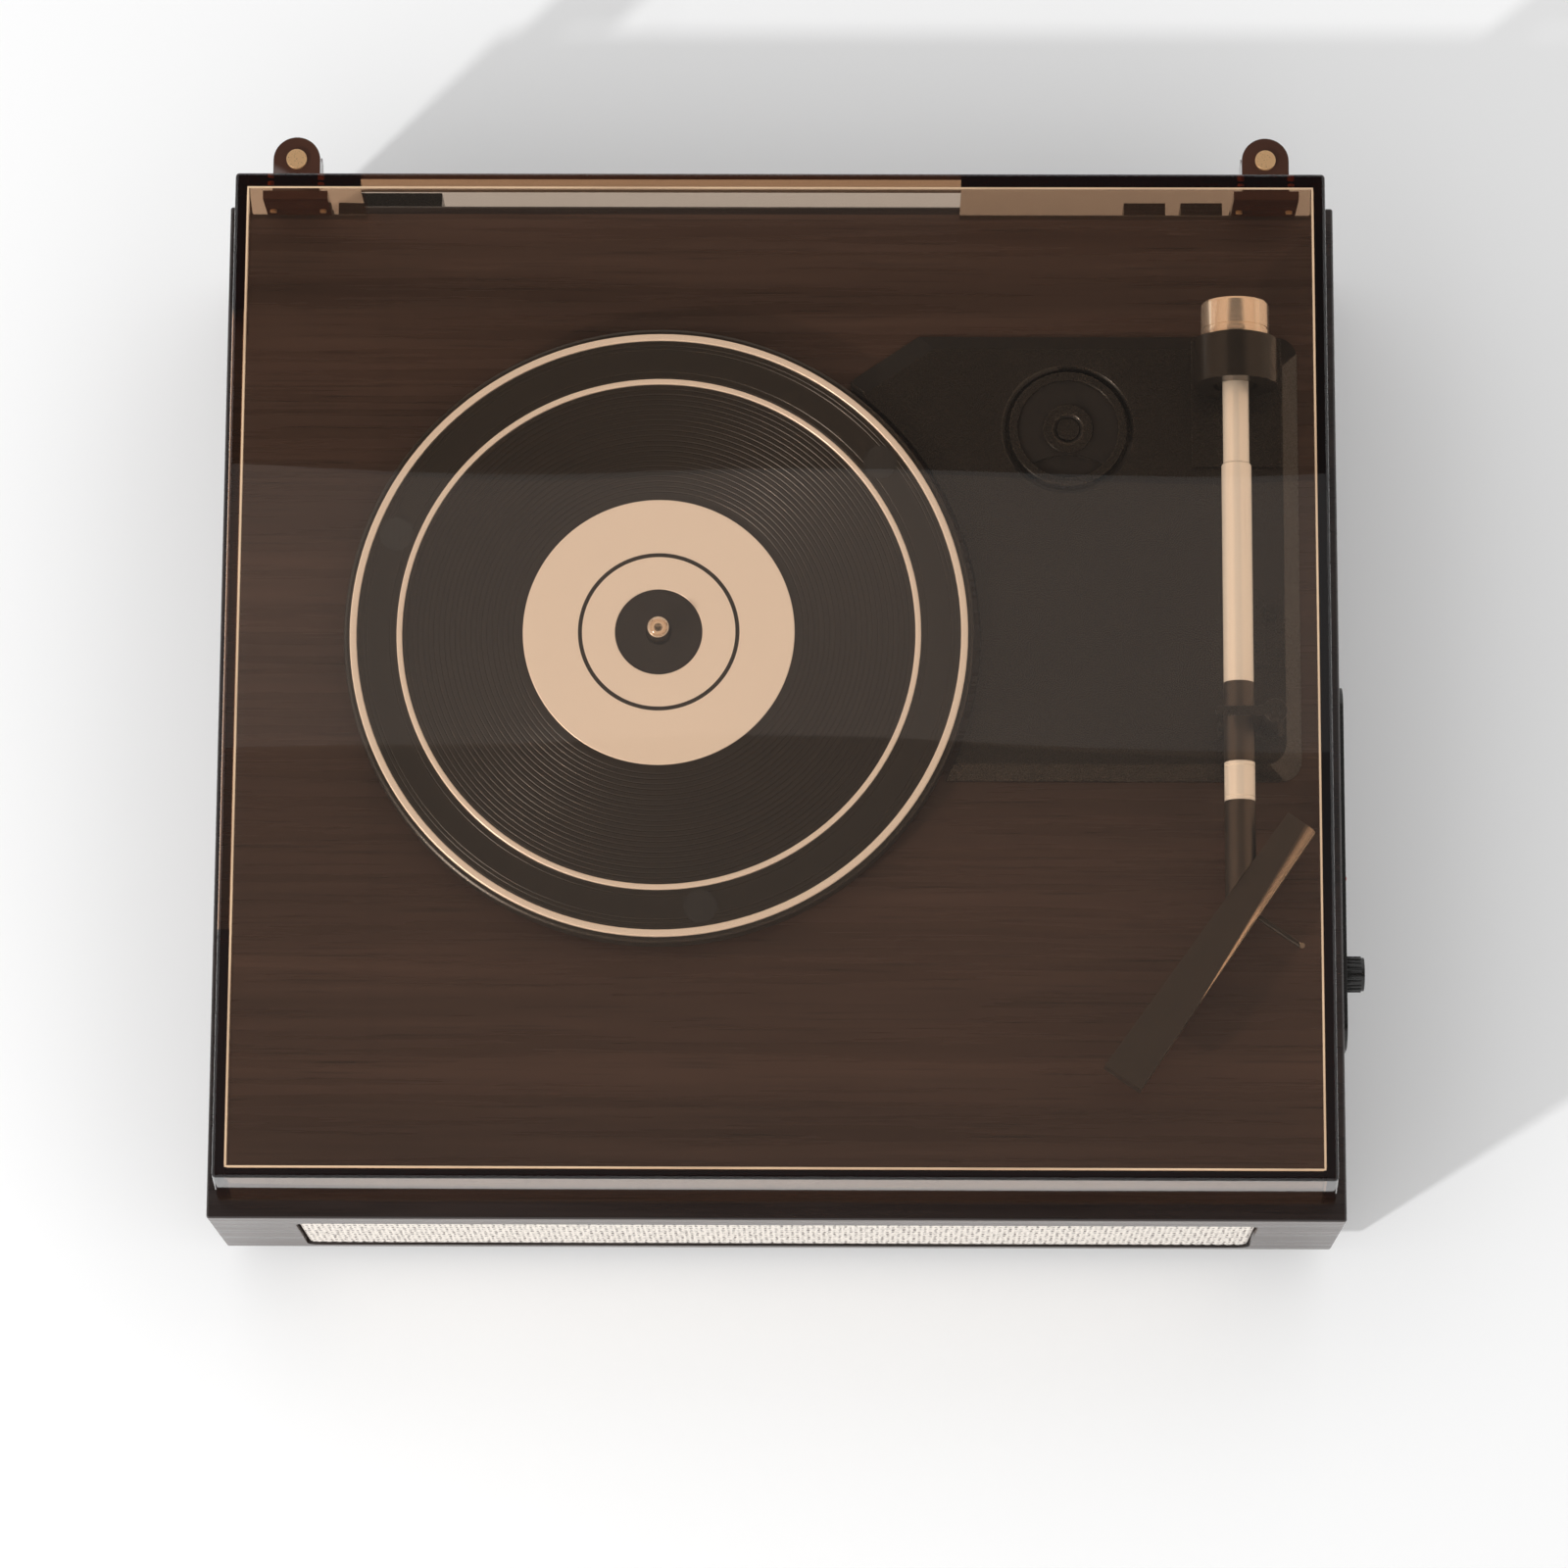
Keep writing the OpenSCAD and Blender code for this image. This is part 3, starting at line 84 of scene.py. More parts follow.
class Paint:
    """One material's node tree, with the few node groups the finishes are built from."""

    def __init__(self, name: str) -> None:
        """Start a plain principled material.

        Args:
            name: Name of the new material.
        """
        self.material = bpy.data.materials.new(name)
        self.material.use_nodes = True
        self.tree = self.material.node_tree
        self.shader = self.tree.nodes["Principled BSDF"]
        self.output = self.tree.nodes["Material Output"]

    def node(self, kind: str, **settings: object) -> bpy.types.Node:
        """Add one node.

        Args:
            kind: Blender's name of the node type.
            settings: Properties to set on the node.

        Returns:
            The new node.
        """
        made = self.tree.nodes.new(kind)
        for key, value in settings.items():
            setattr(made, key, value)
        return made

    def feed(self, target: Socket, value: object) -> None:
        """Link a socket to an input, or write a plain value into it.

        Args:
            target: Input to feed.
            value: Output socket or plain value.
        """
        if isinstance(value, bpy.types.NodeSocket):
            self.tree.links.new(value, target)
        else:
            target.default_value = value

    def set(self, **values: object) -> None:
        """Feed the shader's inputs, named with underscores for spaces.

        Args:
            values: Sockets, numbers or colours by input.
        """
        for key, value in values.items():
            if isinstance(value, tuple):
                value = (*value, 1.0)
            self.feed(self.shader.inputs[key.replace("_", " ")], value)

    def where(self, scale: Point = (1, 1, 1), shift: Point = (0, 0, 0), source: str = "Object") -> Socket:
        """Give the place on the piece, moved and then stretched.

        Args:
            scale: Factor on each axis after the shift.
            shift: Place that becomes the origin.
            source: Output of the Texture Coordinate node.

        Returns:
            A vector socket.
        """
        mapping = self.node("ShaderNodeMapping", vector_type="POINT")
        self.feed(mapping.inputs["Vector"], self.node("ShaderNodeTexCoord").outputs[source])
        mapping.inputs["Scale"].default_value = scale
        mapping.inputs["Location"].default_value = [-s * f for s, f in zip(shift, scale)]
        return mapping.outputs["Vector"]

    def noise(
        self, where: Socket, scale: float, detail: float = 3.0, rough: float = 0.5, twist: float = 0.0
    ) -> Socket:
        """Give a noise value.

        Args:
            where: Vector the noise is read at.
            scale: Repeats for each unit of the vector.
            detail: Number of octaves.
            rough: Weight of the finer octaves.
            twist: Distortion.

        Returns:
            A value socket from 0 to 1.
        """
        made = self.node("ShaderNodeTexNoise")
        self.feed(made.inputs["Vector"], where)
        for key, value in {"Scale": scale, "Detail": detail, "Roughness": rough, "Distortion": twist}.items():
            made.inputs[key].default_value = value
        return made.outputs["Fac"]

    def span(self, value: Socket, low: float, high: float, start: float = 0.0, end: float = 1.0) -> Socket:
        """Map a value from the range start to end onto low to high, clamped.

        Args:
            value: Socket to map.
            low: Result at the start.
            high: Result at the end.
            start: Start of the range.
            end: End of the range.

        Returns:
            A value socket.
        """
        made = self.node("ShaderNodeMapRange", clamp=True)
        for key, number in {"From Min": start, "From Max": end, "To Min": low, "To Max": high}.items():
            made.inputs[key].default_value = number
        self.feed(made.inputs["Value"], value)
        return made.outputs["Result"]

    def uneven(self, value: Socket, middle: float, spread: float) -> Socket:
        """Turn a noise into a value that strays from its middle by a spread."""
        return self.span(value, middle - spread, middle + spread, NOISE_LOW, NOISE_HIGH)

    def math(self, operation: str, first: object, second: object = 0.0) -> Socket:
        """Combine two values with one of Blender's math operations.

        Args:
            operation: Blender's name of the operation.
            first: Socket or number.
            second: Socket or number.

        Returns:
            A value socket.
        """
        made = self.node("ShaderNodeMath", operation=operation)
        self.feed(made.inputs[0], first)
        self.feed(made.inputs[1], second)
        return made.outputs[0]

    def weigh(self, first: Socket, second: Socket, share: float) -> Socket:
        """Add a share of the first value to the rest of the second."""
        parts = [self.math("MULTIPLY", value, part) for value, part in ((first, share), (second, 1.0 - share))]
        return self.math("ADD", *parts)

    def ramp(self, value: Socket, colour: Colour, *stops: tuple[float, float]) -> Socket:
        """Turn a value into shades of one colour.

        Args:
            value: Socket from 0 to 1.
            colour: Colour that the stops make lighter or darker.
            stops: Pairs of place and factor, in rising order.

        Returns:
            A colour socket.
        """
        made = self.node("ShaderNodeValToRGB")
        self.feed(made.inputs["Fac"], value)
        marks = made.color_ramp.elements
        while len(marks) < len(stops):
            marks.new(1.0)
        for mark, (place, factor) in zip(marks, stops):
            mark.position = place
            mark.color = (*shade(colour, factor), 1.0)
        return made.outputs["Color"]

    def mottle(self, value: Socket, colour: Colour, dark: float, light: float) -> Socket:
        """Turn a noise into a colour between two factors of it."""
        return self.ramp(value, colour, (NOISE_LOW, dark), (NOISE_HIGH, light))

    def blend(self, share: Socket, first: Socket, second: Colour) -> Socket:
        """Mix a colour into another by a share.

        Args:
            share: Socket from 0 to 1.
            first: Colour at share 0.
            second: Colour at share 1.

        Returns:
            A colour socket.
        """
        made = self.node("ShaderNodeMix", data_type="RGBA")
        for place, value in ((0, share), (6, first), (7, (*second, 1.0))):
            self.feed(made.inputs[place], value)
        return made.outputs[2]

    def bump(self, height: Socket, depth: float, strength: float = 1.0) -> None:
        """Raise the surface by a height of the given depth in millimetres.

        Args:
            height: Socket from 0 to 1.
            depth: Height at 1, in millimetres.
            strength: Weight of the bump.
        """
        made = self.node("ShaderNodeBump")
        made.inputs["Strength"].default_value = strength
        made.inputs["Distance"].default_value = depth * MM
        self.feed(made.inputs["Height"], height)
        self.feed(self.shader.inputs["Normal"], made.outputs["Normal"])


def shade(colour: Colour, factor: float) -> Colour:
    """Give a colour made lighter or darker by a factor."""
    return tuple(min(1.0, part * factor) for part in colour)


@dataclass(frozen=True)
class Finish:
    """A finish with its own procedural material and its slot in the record."""

    name: str
    slot: str
    colour: Colour
    roughness: float = 0.5

    def material(self) -> bpy.types.Material:
        """Give the material, made on first use.

        Returns:
            The material.
        """
        found = bpy.data.materials.get(self.name)
        if found is None:
            paint = Paint(self.name)
            self.dress(paint)
            found = paint.material
        return found

    def dress(self, paint: Paint) -> None:
        """Build the node tree; each kind of finish has its own."""
        raise NotImplementedError


class Grain(Enum):
    """Direction that the wood grain runs in, as the stretch of its noise."""

    ACROSS = (0.03, 1.0, 1.0)
    DEEP = (1.0, 0.03, 1.0)


@dataclass(frozen=True)
class Veneer(Finish):
    """Dark walnut veneer under a clear lacquer, with long streaks and short pores."""

    grain: Grain = Grain.ACROSS
    figure_scale: float = 42.0
    streak_scale: float = 260.0
    pore_scale: float = 1400.0
    pore_length: float = 0.6
    figure_share: float = 0.62

    def dress(self, paint: Paint) -> None:
        """Build streaks, pores and a lacquer coat along the grain.

        Args:
            paint: Material to build on.
        """
        stretch = self.grain.value
        where = paint.where(stretch)
        figure = paint.noise(where, self.figure_scale, 4.0, 0.55, 0.35)
        streak = paint.noise(where, self.streak_scale, 4.0, 0.6, 0.2)
        short = paint.where(tuple(self.pore_length * s if s < 1 else s for s in stretch))
        pore = paint.span(paint.noise(short, self.pore_scale, 2.0), 0.0, 0.65, 0.58, 0.74)
        tone = paint.weigh(figure, streak, self.figure_share)
        wood = paint.ramp(tone, self.colour, (0.30, 0.55), (0.46, 0.89), (0.56, 1.12), (0.74, 1.60))
        paint.set(
            Base_Color=paint.blend(pore, wood, shade(self.colour, 0.30)),
            Roughness=paint.span(streak, self.roughness - 0.05, self.roughness + 0.08, NOISE_LOW, NOISE_HIGH),
            Coat_Weight=0.15,
            Coat_Roughness=0.12,
        )
        paint.bump(paint.math("SUBTRACT", 1.0, pore), 0.03, 0.35)


@dataclass(frozen=True)
class Moulded(Finish):
    """Moulded plastic or rubber with a fine skin texture and slight tone changes."""

    skin: float = 0.02
    gloss: float = 0.0
    skin_scale: float = 2600.0
    cloud_scale: float = 24.0

    def dress(self, paint: Paint) -> None:
        """Build cloudy tone, fine skin bump and uneven roughness.

        Args:
            paint: Material to build on.
        """
        where = paint.where()
        skin = paint.noise(where, self.skin_scale, 2.0, 0.6)
        paint.set(
            Base_Color=paint.mottle(paint.noise(where, self.cloud_scale), self.colour, 0.84, 1.16),
            Roughness=paint.uneven(skin, self.roughness, 0.06),
            Coat_Weight=self.gloss,
            Coat_Roughness=0.08,
        )
        paint.bump(skin, self.skin, 0.5)


class Lay(Enum):
    """Direction of the tool marks on a metal surface, as the stretch of their noise."""

    ALONG_X = (0.03, 1.0, 1.0)
    ALONG_Y = (1.0, 0.03, 1.0)
    CLOUDY = (1.0, 1.0, 1.0)


@dataclass(frozen=True)
class Metal(Finish):
    """Metal with fine tool marks in one direction."""

    lay: Lay = Lay.CLOUDY
    marks: float = 0.10
    metallic: float = 1.0
    relief: float = 0.25
    mark_scale: float = 2200.0
    mark_depth: float = 0.006
    mark_share: float = 0.6
    cloud_scale: float = 30.0

    def dress(self, paint: Paint) -> None:
        """Build tool marks in colour, roughness and bump.

        Args:
            paint: Material to build on.
        """
        lines = paint.noise(paint.where(self.lay.value), self.mark_scale, 3.0, 0.6)
        cloud = paint.noise(paint.where(), self.cloud_scale, 2.0)
        paint.set(
            Base_Color=paint.mottle(paint.weigh(lines, cloud, self.mark_share), self.colour, 0.97, 1.02),
            Metallic=self.metallic,
            Roughness=paint.uneven(lines, self.roughness, self.marks / 2),
        )
        paint.bump(lines, self.mark_depth, self.relief)


@dataclass(frozen=True)
class PaintedHighlightMetal(Finish):
    """Satin black metal with a painted highlight: its colour turns bright where the piece's own painted_highlight
    attribute rises.
    """

    bright: Colour = (0.72, 0.57, 0.44)
    polish: float = 0.18
    metallic: float = 0.87
    cloud_scale: float = 30.0

    def dress(self, paint: Paint) -> None:
        """Build the blend from satin to a painted highlight along the attribute.

        Args:
            paint: Material to build on.
        """
        share = paint.node("ShaderNodeAttribute", attribute_name="painted_highlight").outputs["Fac"]
        satin = paint.mottle(paint.noise(paint.where(), self.cloud_scale, 2.0), self.colour, 0.97, 1.02)
        paint.set(
            Base_Color=paint.blend(share, satin, self.bright),
            Metallic=self.metallic,
            Roughness=paint.span(share, self.roughness, self.polish),
        )


@dataclass(frozen=True)
class Turned(Finish):
    """Surface turned about the platter's axis, with fine rings round the centre."""

    centre: Point = (0.0, 0.0, 0.0)
    metallic: float = 1.0
    pitch: float = 0.35
    contrast: float = 0.05
    depth: float = 0.006
    ring_share: float = 0.7
    cloud_scale: float = 18.0

    def dress(self, paint: Paint) -> None:
        """Build ring marks from the distance to the axis.

        Args:
            paint: Material to build on.
        """
        reach = paint.node("ShaderNodeVectorMath", operation="LENGTH")
        paint.feed(reach.inputs[0], paint.where((1, 1, 0), self.centre))
        made = paint.node("ShaderNodeTexNoise", noise_dimensions="1D")
        paint.feed(made.inputs["W"], reach.outputs["Value"])
        made.inputs["Scale"].default_value = 1.0 / (self.pitch * MM)
        made.inputs["Detail"].default_value = 2.0
        ring = made.outputs["Fac"]
        tone = paint.weigh(ring, paint.noise(paint.where(), self.cloud_scale), self.ring_share)
        paint.set(
            Base_Color=paint.mottle(tone, self.colour, 1.0 - self.contrast, 1.0 + self.contrast),
            Metallic=self.metallic,
            Roughness=paint.uneven(ring, self.roughness, 0.05),
        )
        paint.bump(ring, self.depth, 0.4)


@dataclass(frozen=True)
class Fibre(Finish):
    """Pressed board, card or paper, with short fibres and specks."""

    fibre: float = 420.0
    fibre_share: float = 0.7
    fibre_depth: float = 0.06
    speck_scale: float = 1500.0

    def dress(self, paint: Paint) -> None:
        """Build fibres, specks and a soft bump.

        Args:
            paint: Material to build on.
        """
        fibres = paint.noise(paint.where((1, 0.35, 1)), self.fibre, 5.0, 0.7, 1.2)
        tone = paint.weigh(fibres, paint.noise(paint.where(), self.speck_scale, 2.0), self.fibre_share)
        paint.set(
            Base_Color=paint.ramp(tone, self.colour, (NOISE_LOW, 0.62), (0.5, 1.0), (NOISE_HIGH, 1.3)),
            Roughness=paint.uneven(fibres, self.roughness, 0.08),
        )
        paint.bump(fibres, self.fibre_depth, 0.5)


@dataclass(frozen=True)
class Woven(Finish):
    """Coarse tweed of thick uneven threads, on the sheet's own UV map."""

    width: float = 305.0
    height: float = 49.0
    pitch: float = 1.7
    rows: float = 2.4
    gap: Colour = (0.075, 0.045, 0.032)
    drift: float = 1.5
    slub: float = 0.12
    depth: float = 0.35

    def on_cloth(self, along: float = 1.0, up: float = 1.0, shift: float = 0.0) -> tuple[Point, Point, str]:
        """Give the scale, shift and source of a place on the flat cloth.

        Args:
            along: Stretch along the cloth.
            up: Stretch up the cloth.
            shift: Share of the cloth's length that the place moves by.

        Returns:
            What Paint.where takes.
        """
        return (self.width * along, self.height * up, 1), (shift, 0, 0), "UV"

    def dress(self, paint: Paint) -> None:
        """Build two crossing thread systems with slubs and dark gaps.

        Args:
            paint: Material to build on.
        """
        place = paint.where(*self.on_cloth())
        split = paint.node("ShaderNodeSeparateXYZ")
        paint.feed(split.inputs[0], place)
        crossing = []
        for axis, pitch in (("X", self.pitch), ("Y", self.rows * self.pitch)):
            wobble = paint.noise(paint.where(*self.on_cloth(shift=0.1 * pitch)), 0.35, 2.0)
            shifted = paint.math("ADD", split.outputs[axis], paint.math("MULTIPLY", wobble, self.drift))
            wave = paint.math("SINE", paint.math("MULTIPLY", shifted, math.pi / pitch))
            crossing.append(paint.math("ABSOLUTE", wave))
        gaps = paint.math("MAXIMUM", *crossing)
        patchy = paint.span(paint.noise(place, 0.6, 1.0), 0.3, 1.0, 0.36, 0.54)
        flecks = paint.noise(paint.where(*self.on_cloth(up=0.45)), 0.46, 1.0)
        dark = paint.math(
            "MAXIMUM",
            paint.math("MULTIPLY", paint.span(gaps, 1.0, 0.0, 0.58, 0.80), patchy),
            paint.span(flecks, 0.0, 0.25, 0.56, 0.70),
        )
        slubs = [
            paint.noise(paint.where(*stretched), 1.1, 4.0, 0.7)
            for stretched in (self.on_cloth(up=self.slub), self.on_cloth(along=self.slub))
        ]
        yarn = paint.ramp(paint.weigh(*slubs, 0.5), self.colour, (0.34, 0.60), (0.47, 0.95), (0.62, 1.12))
        fuzz = paint.noise(place, 6.0, 3.0, 0.7)
        paint.set(
            Base_Color=paint.blend(dark, yarn, self.gap),
            Roughness=paint.uneven(fuzz, self.roughness, 0.08),
            Sheen_Weight=0.25,
            Sheen_Roughness=0.5,
        )
        paint.bump(paint.math("ADD", gaps, paint.math("MULTIPLY", fuzz, 0.4)), self.depth, 0.7)


@dataclass(frozen=True)
class Acrylic(Finish):
    """Clear tinted acrylic: polished faces, colour from the thickness that light passes."""

    absorb: Colour = (0.747, 0.463, 0.168)
    density: float = 190.0
    wave: float = 1.2
    index: float = 1.49

    def dress(self, paint: Paint) -> None:
        """Build glass with even absorption and slightly wavy faces.

        Args:
            paint: Material to build on.
        """
        haze = paint.noise(paint.where(), 60.0, 2.0)
        paint.set(
            Base_Color=self.colour,
            Roughness=paint.span(haze, 0.0, self.roughness, 0.45, 0.75),
            IOR=self.index,
            Transmission_Weight=1.0,
        )
        paint.bump(paint.noise(paint.where((1.0, 0.6, 1.0)), 4.5, 1.0, 0.4), self.wave)
        tint = paint.node("ShaderNodeVolumeAbsorption")
        tint.inputs["Color"].default_value = (*self.absorb, 1.0)
        tint.inputs["Density"].default_value = self.density
        paint.feed(paint.output.inputs["Volume"], tint.outputs[0])


SPINDLE = (-42.75, 12.05, 0.0)
SPINDLE_AT = tuple(place * MM for place in SPINDLE)
WALNUT_BROWN = (0.043, 0.0240, 0.0176)
SATIN_BLACK = (0.10, 0.088, 0.078)

WALNUT = Veneer("walnut_along_front", "walnut", WALNUT_BROWN, 0.27)
WALNUT_SIDE = Veneer("walnut_along_side", "walnut", WALNUT_BROWN, 0.27, Grain.DEEP)
# darker walnut on the deck's rim outside the cover
DARK_RIM_WALNUT = Veneer("walnut_dark_rim", "walnut", (0.014, 0.0085, 0.007), 0.27)
BOARD = Fibre("pressed_board", "board", (0.20, 0.125, 0.07), 0.75)
PAPER = Fibre("cone_card", "cone_paper", (0.035, 0.033, 0.031), 0.85, 700.0)
STEEL = Metal("plain_steel", "steel", (0.56, 0.55, 0.53), 0.35)
CHROME = Metal("polished_chrome", "chrome", (0.86, 0.80, 0.72), 0.08, marks=0.05)
BRIGHT = Metal("bright_metal_turned", "bright_metal", (0.75, 0.74, 0.71), 0.2, Lay.ALONG_X)
DARK_METAL = Metal("dark_pressed_metal", "dark_metal", (0.12, 0.12, 0.125), 0.45)
BRASS = Metal("worn_brass", "brass", (0.66, 0.40, 0.20), 0.30, marks=0.08, metallic=0.55)
LIFT_DARK = Metal(
    "finger_lift_dark", "bright_metal", (0.022, 0.019, 0.016), 0.30, marks=0.05, metallic=0.5, relief=0.03
)
GOLD_ALONG = Metal(
    "champagne_tube", "champagne_gold", (1.0, 0.92, 0.82), 0.22, Lay.ALONG_Y, marks=0.03, metallic=0.30, relief=0.02
)
GOLD_ROUND = Metal(
    "champagne_turned", "champagne_gold", (0.97, 0.86, 0.73), 0.14, Lay.ALONG_X, marks=0.05, metallic=0.85,
    relief=0.02,
)
GOLD_DISC = Turned(
    "champagne_disc", "champagne_gold", (0.90, 0.80, 0.70), 0.48, SPINDLE_AT, metallic=0.20, contrast=0.02
)
GOLD_RING = Turned(
    "champagne_ring", "champagne_gold", (0.92, 0.82, 0.72), 0.34, SPINDLE_AT, metallic=0.30, contrast=0.02
)
PLATTER_BLACK = Turned(
    "platter_black_turned", "platter_black", (0.015, 0.013, 0.011), 0.38, SPINDLE_AT, metallic=0.0, pitch=0.6,
    contrast=0.12, depth=0.01,
)
MAT_RUBBER = Turned(
    "mat_rubber_grooved", "mat_rubber", (0.014, 0.012, 0.0105), 0.42, SPINDLE_AT, metallic=0.0, pitch=0.8,
    contrast=0.15, depth=0.012,
)
ARM_BLACK = Metal("arm_black_satin", "arm_black", SATIN_BLACK, 0.34, marks=0.08, metallic=0.85, relief=0.03)
# head finish: satin black, with a painted highlight where the vertex attribute rises
ARM_PAINTED_HIGHLIGHT = PaintedHighlightMetal("arm_black_painted_highlight", "arm_black", SATIN_BLACK, 0.34)
HOUSING_BLACK = Moulded("housing_black_gloss", "arm_black", (0.012, 0.0105, 0.009), 0.2, 0.003)
BLACK = Moulded("black_plastic_fine", "black_plastic", (0.011, 0.0098, 0.0085), 0.27, 0.0015)
# matt black, darker than the plain black: painted shade on the plate's rear slope and in the adapter's hollows
MATT_BLACK_PAINTED_SHADE = Moulded("black_plastic_matt_painted_shade", "black_plastic", (0.004, 0.0035, 0.003), 0.8, 0.0015)
# paler black: painted highlight on the plate's right slope
PALE_BLACK_PAINTED_HIGHLIGHT = Moulded("black_plastic_painted_highlight", "black_plastic", (0.034, 0.030, 0.026), 0.27, 0.0015)
RUBBER = Moulded("soft_rubber", "rubber", (0.022, 0.021, 0.020), 0.8, 0.04)
GREEN_BOARD = Moulded("circuit_lacquer", "circuit_board", (0.015, 0.10, 0.035), 0.35, 0.02, 0.4)
COMPONENTS = Moulded("component_cases", "board_components", (0.05, 0.05, 0.055), 0.45, 0.02)
LAMP_RED = Moulded("lamp_lens", "lamp", (0.36, 0.02, 0.015), 0.15, 0.005, 0.6)
DIAMOND = Moulded("stylus_body", "stylus_tip", (0.30, 0.05, 0.035), 0.3, 0.01, 0.3)
BROWN_ACRYLIC = Moulded("brown_acrylic_lug", "brown_acrylic", (0.055, 0.020, 0.011), 0.12, 0.004, 0.8)
TINTED = Acrylic("tinted_acrylic_sheet", "tinted_acrylic", (1.0, 1.0, 1.0), 0.004)
MATT_RIM = Moulded("sanded_rim", "tinted_acrylic", (0.020, 0.012, 0.009), 0.7, 0.01)
CEMENT = Moulded("cement_seam", "tinted_acrylic", (0.90, 0.78, 0.64), 0.35, 0.01)
TWEED = Woven("cream_tweed", "grille_fabric", (0.79, 0.72, 0.645), 0.85)


# ---------------------------------------------------------------- forms


class Axis(Enum):
    """Axis that a turned form is spun about, as the turn from the upright one."""

    UP = Matrix.Identity(3)
    RIGHT = Matrix.Rotation(math.pi / 2, 3, "Y")
    REAR = Matrix.Rotation(-math.pi / 2, 3, "X")
    FRONT = Matrix.Rotation(math.pi / 2, 3, "X")


def across(axis: int) -> Vector:
    """Give the unit vector along axis 0, 1 or 2."""
    return Vector(float(place == axis) for place in range(3))


def faces_of(verts: Iterable[Vert]) -> list[Face]:
    """Give the faces that touch some vertices, each once."""
    return list(dict.fromkeys(f for v in verts for f in v.link_faces))


def edges_of(faces: Iterable[Face]) -> list[Edge]:
    """Give the edges of some faces, each once."""
    return list(dict.fromkeys(e for f in faces for e in f.edges))


def verts_of(faces: Iterable[Face]) -> list[Vert]:
    """Give the vertices of some faces, each once."""
    return list(dict.fromkeys(v for f in faces for v in f.verts))


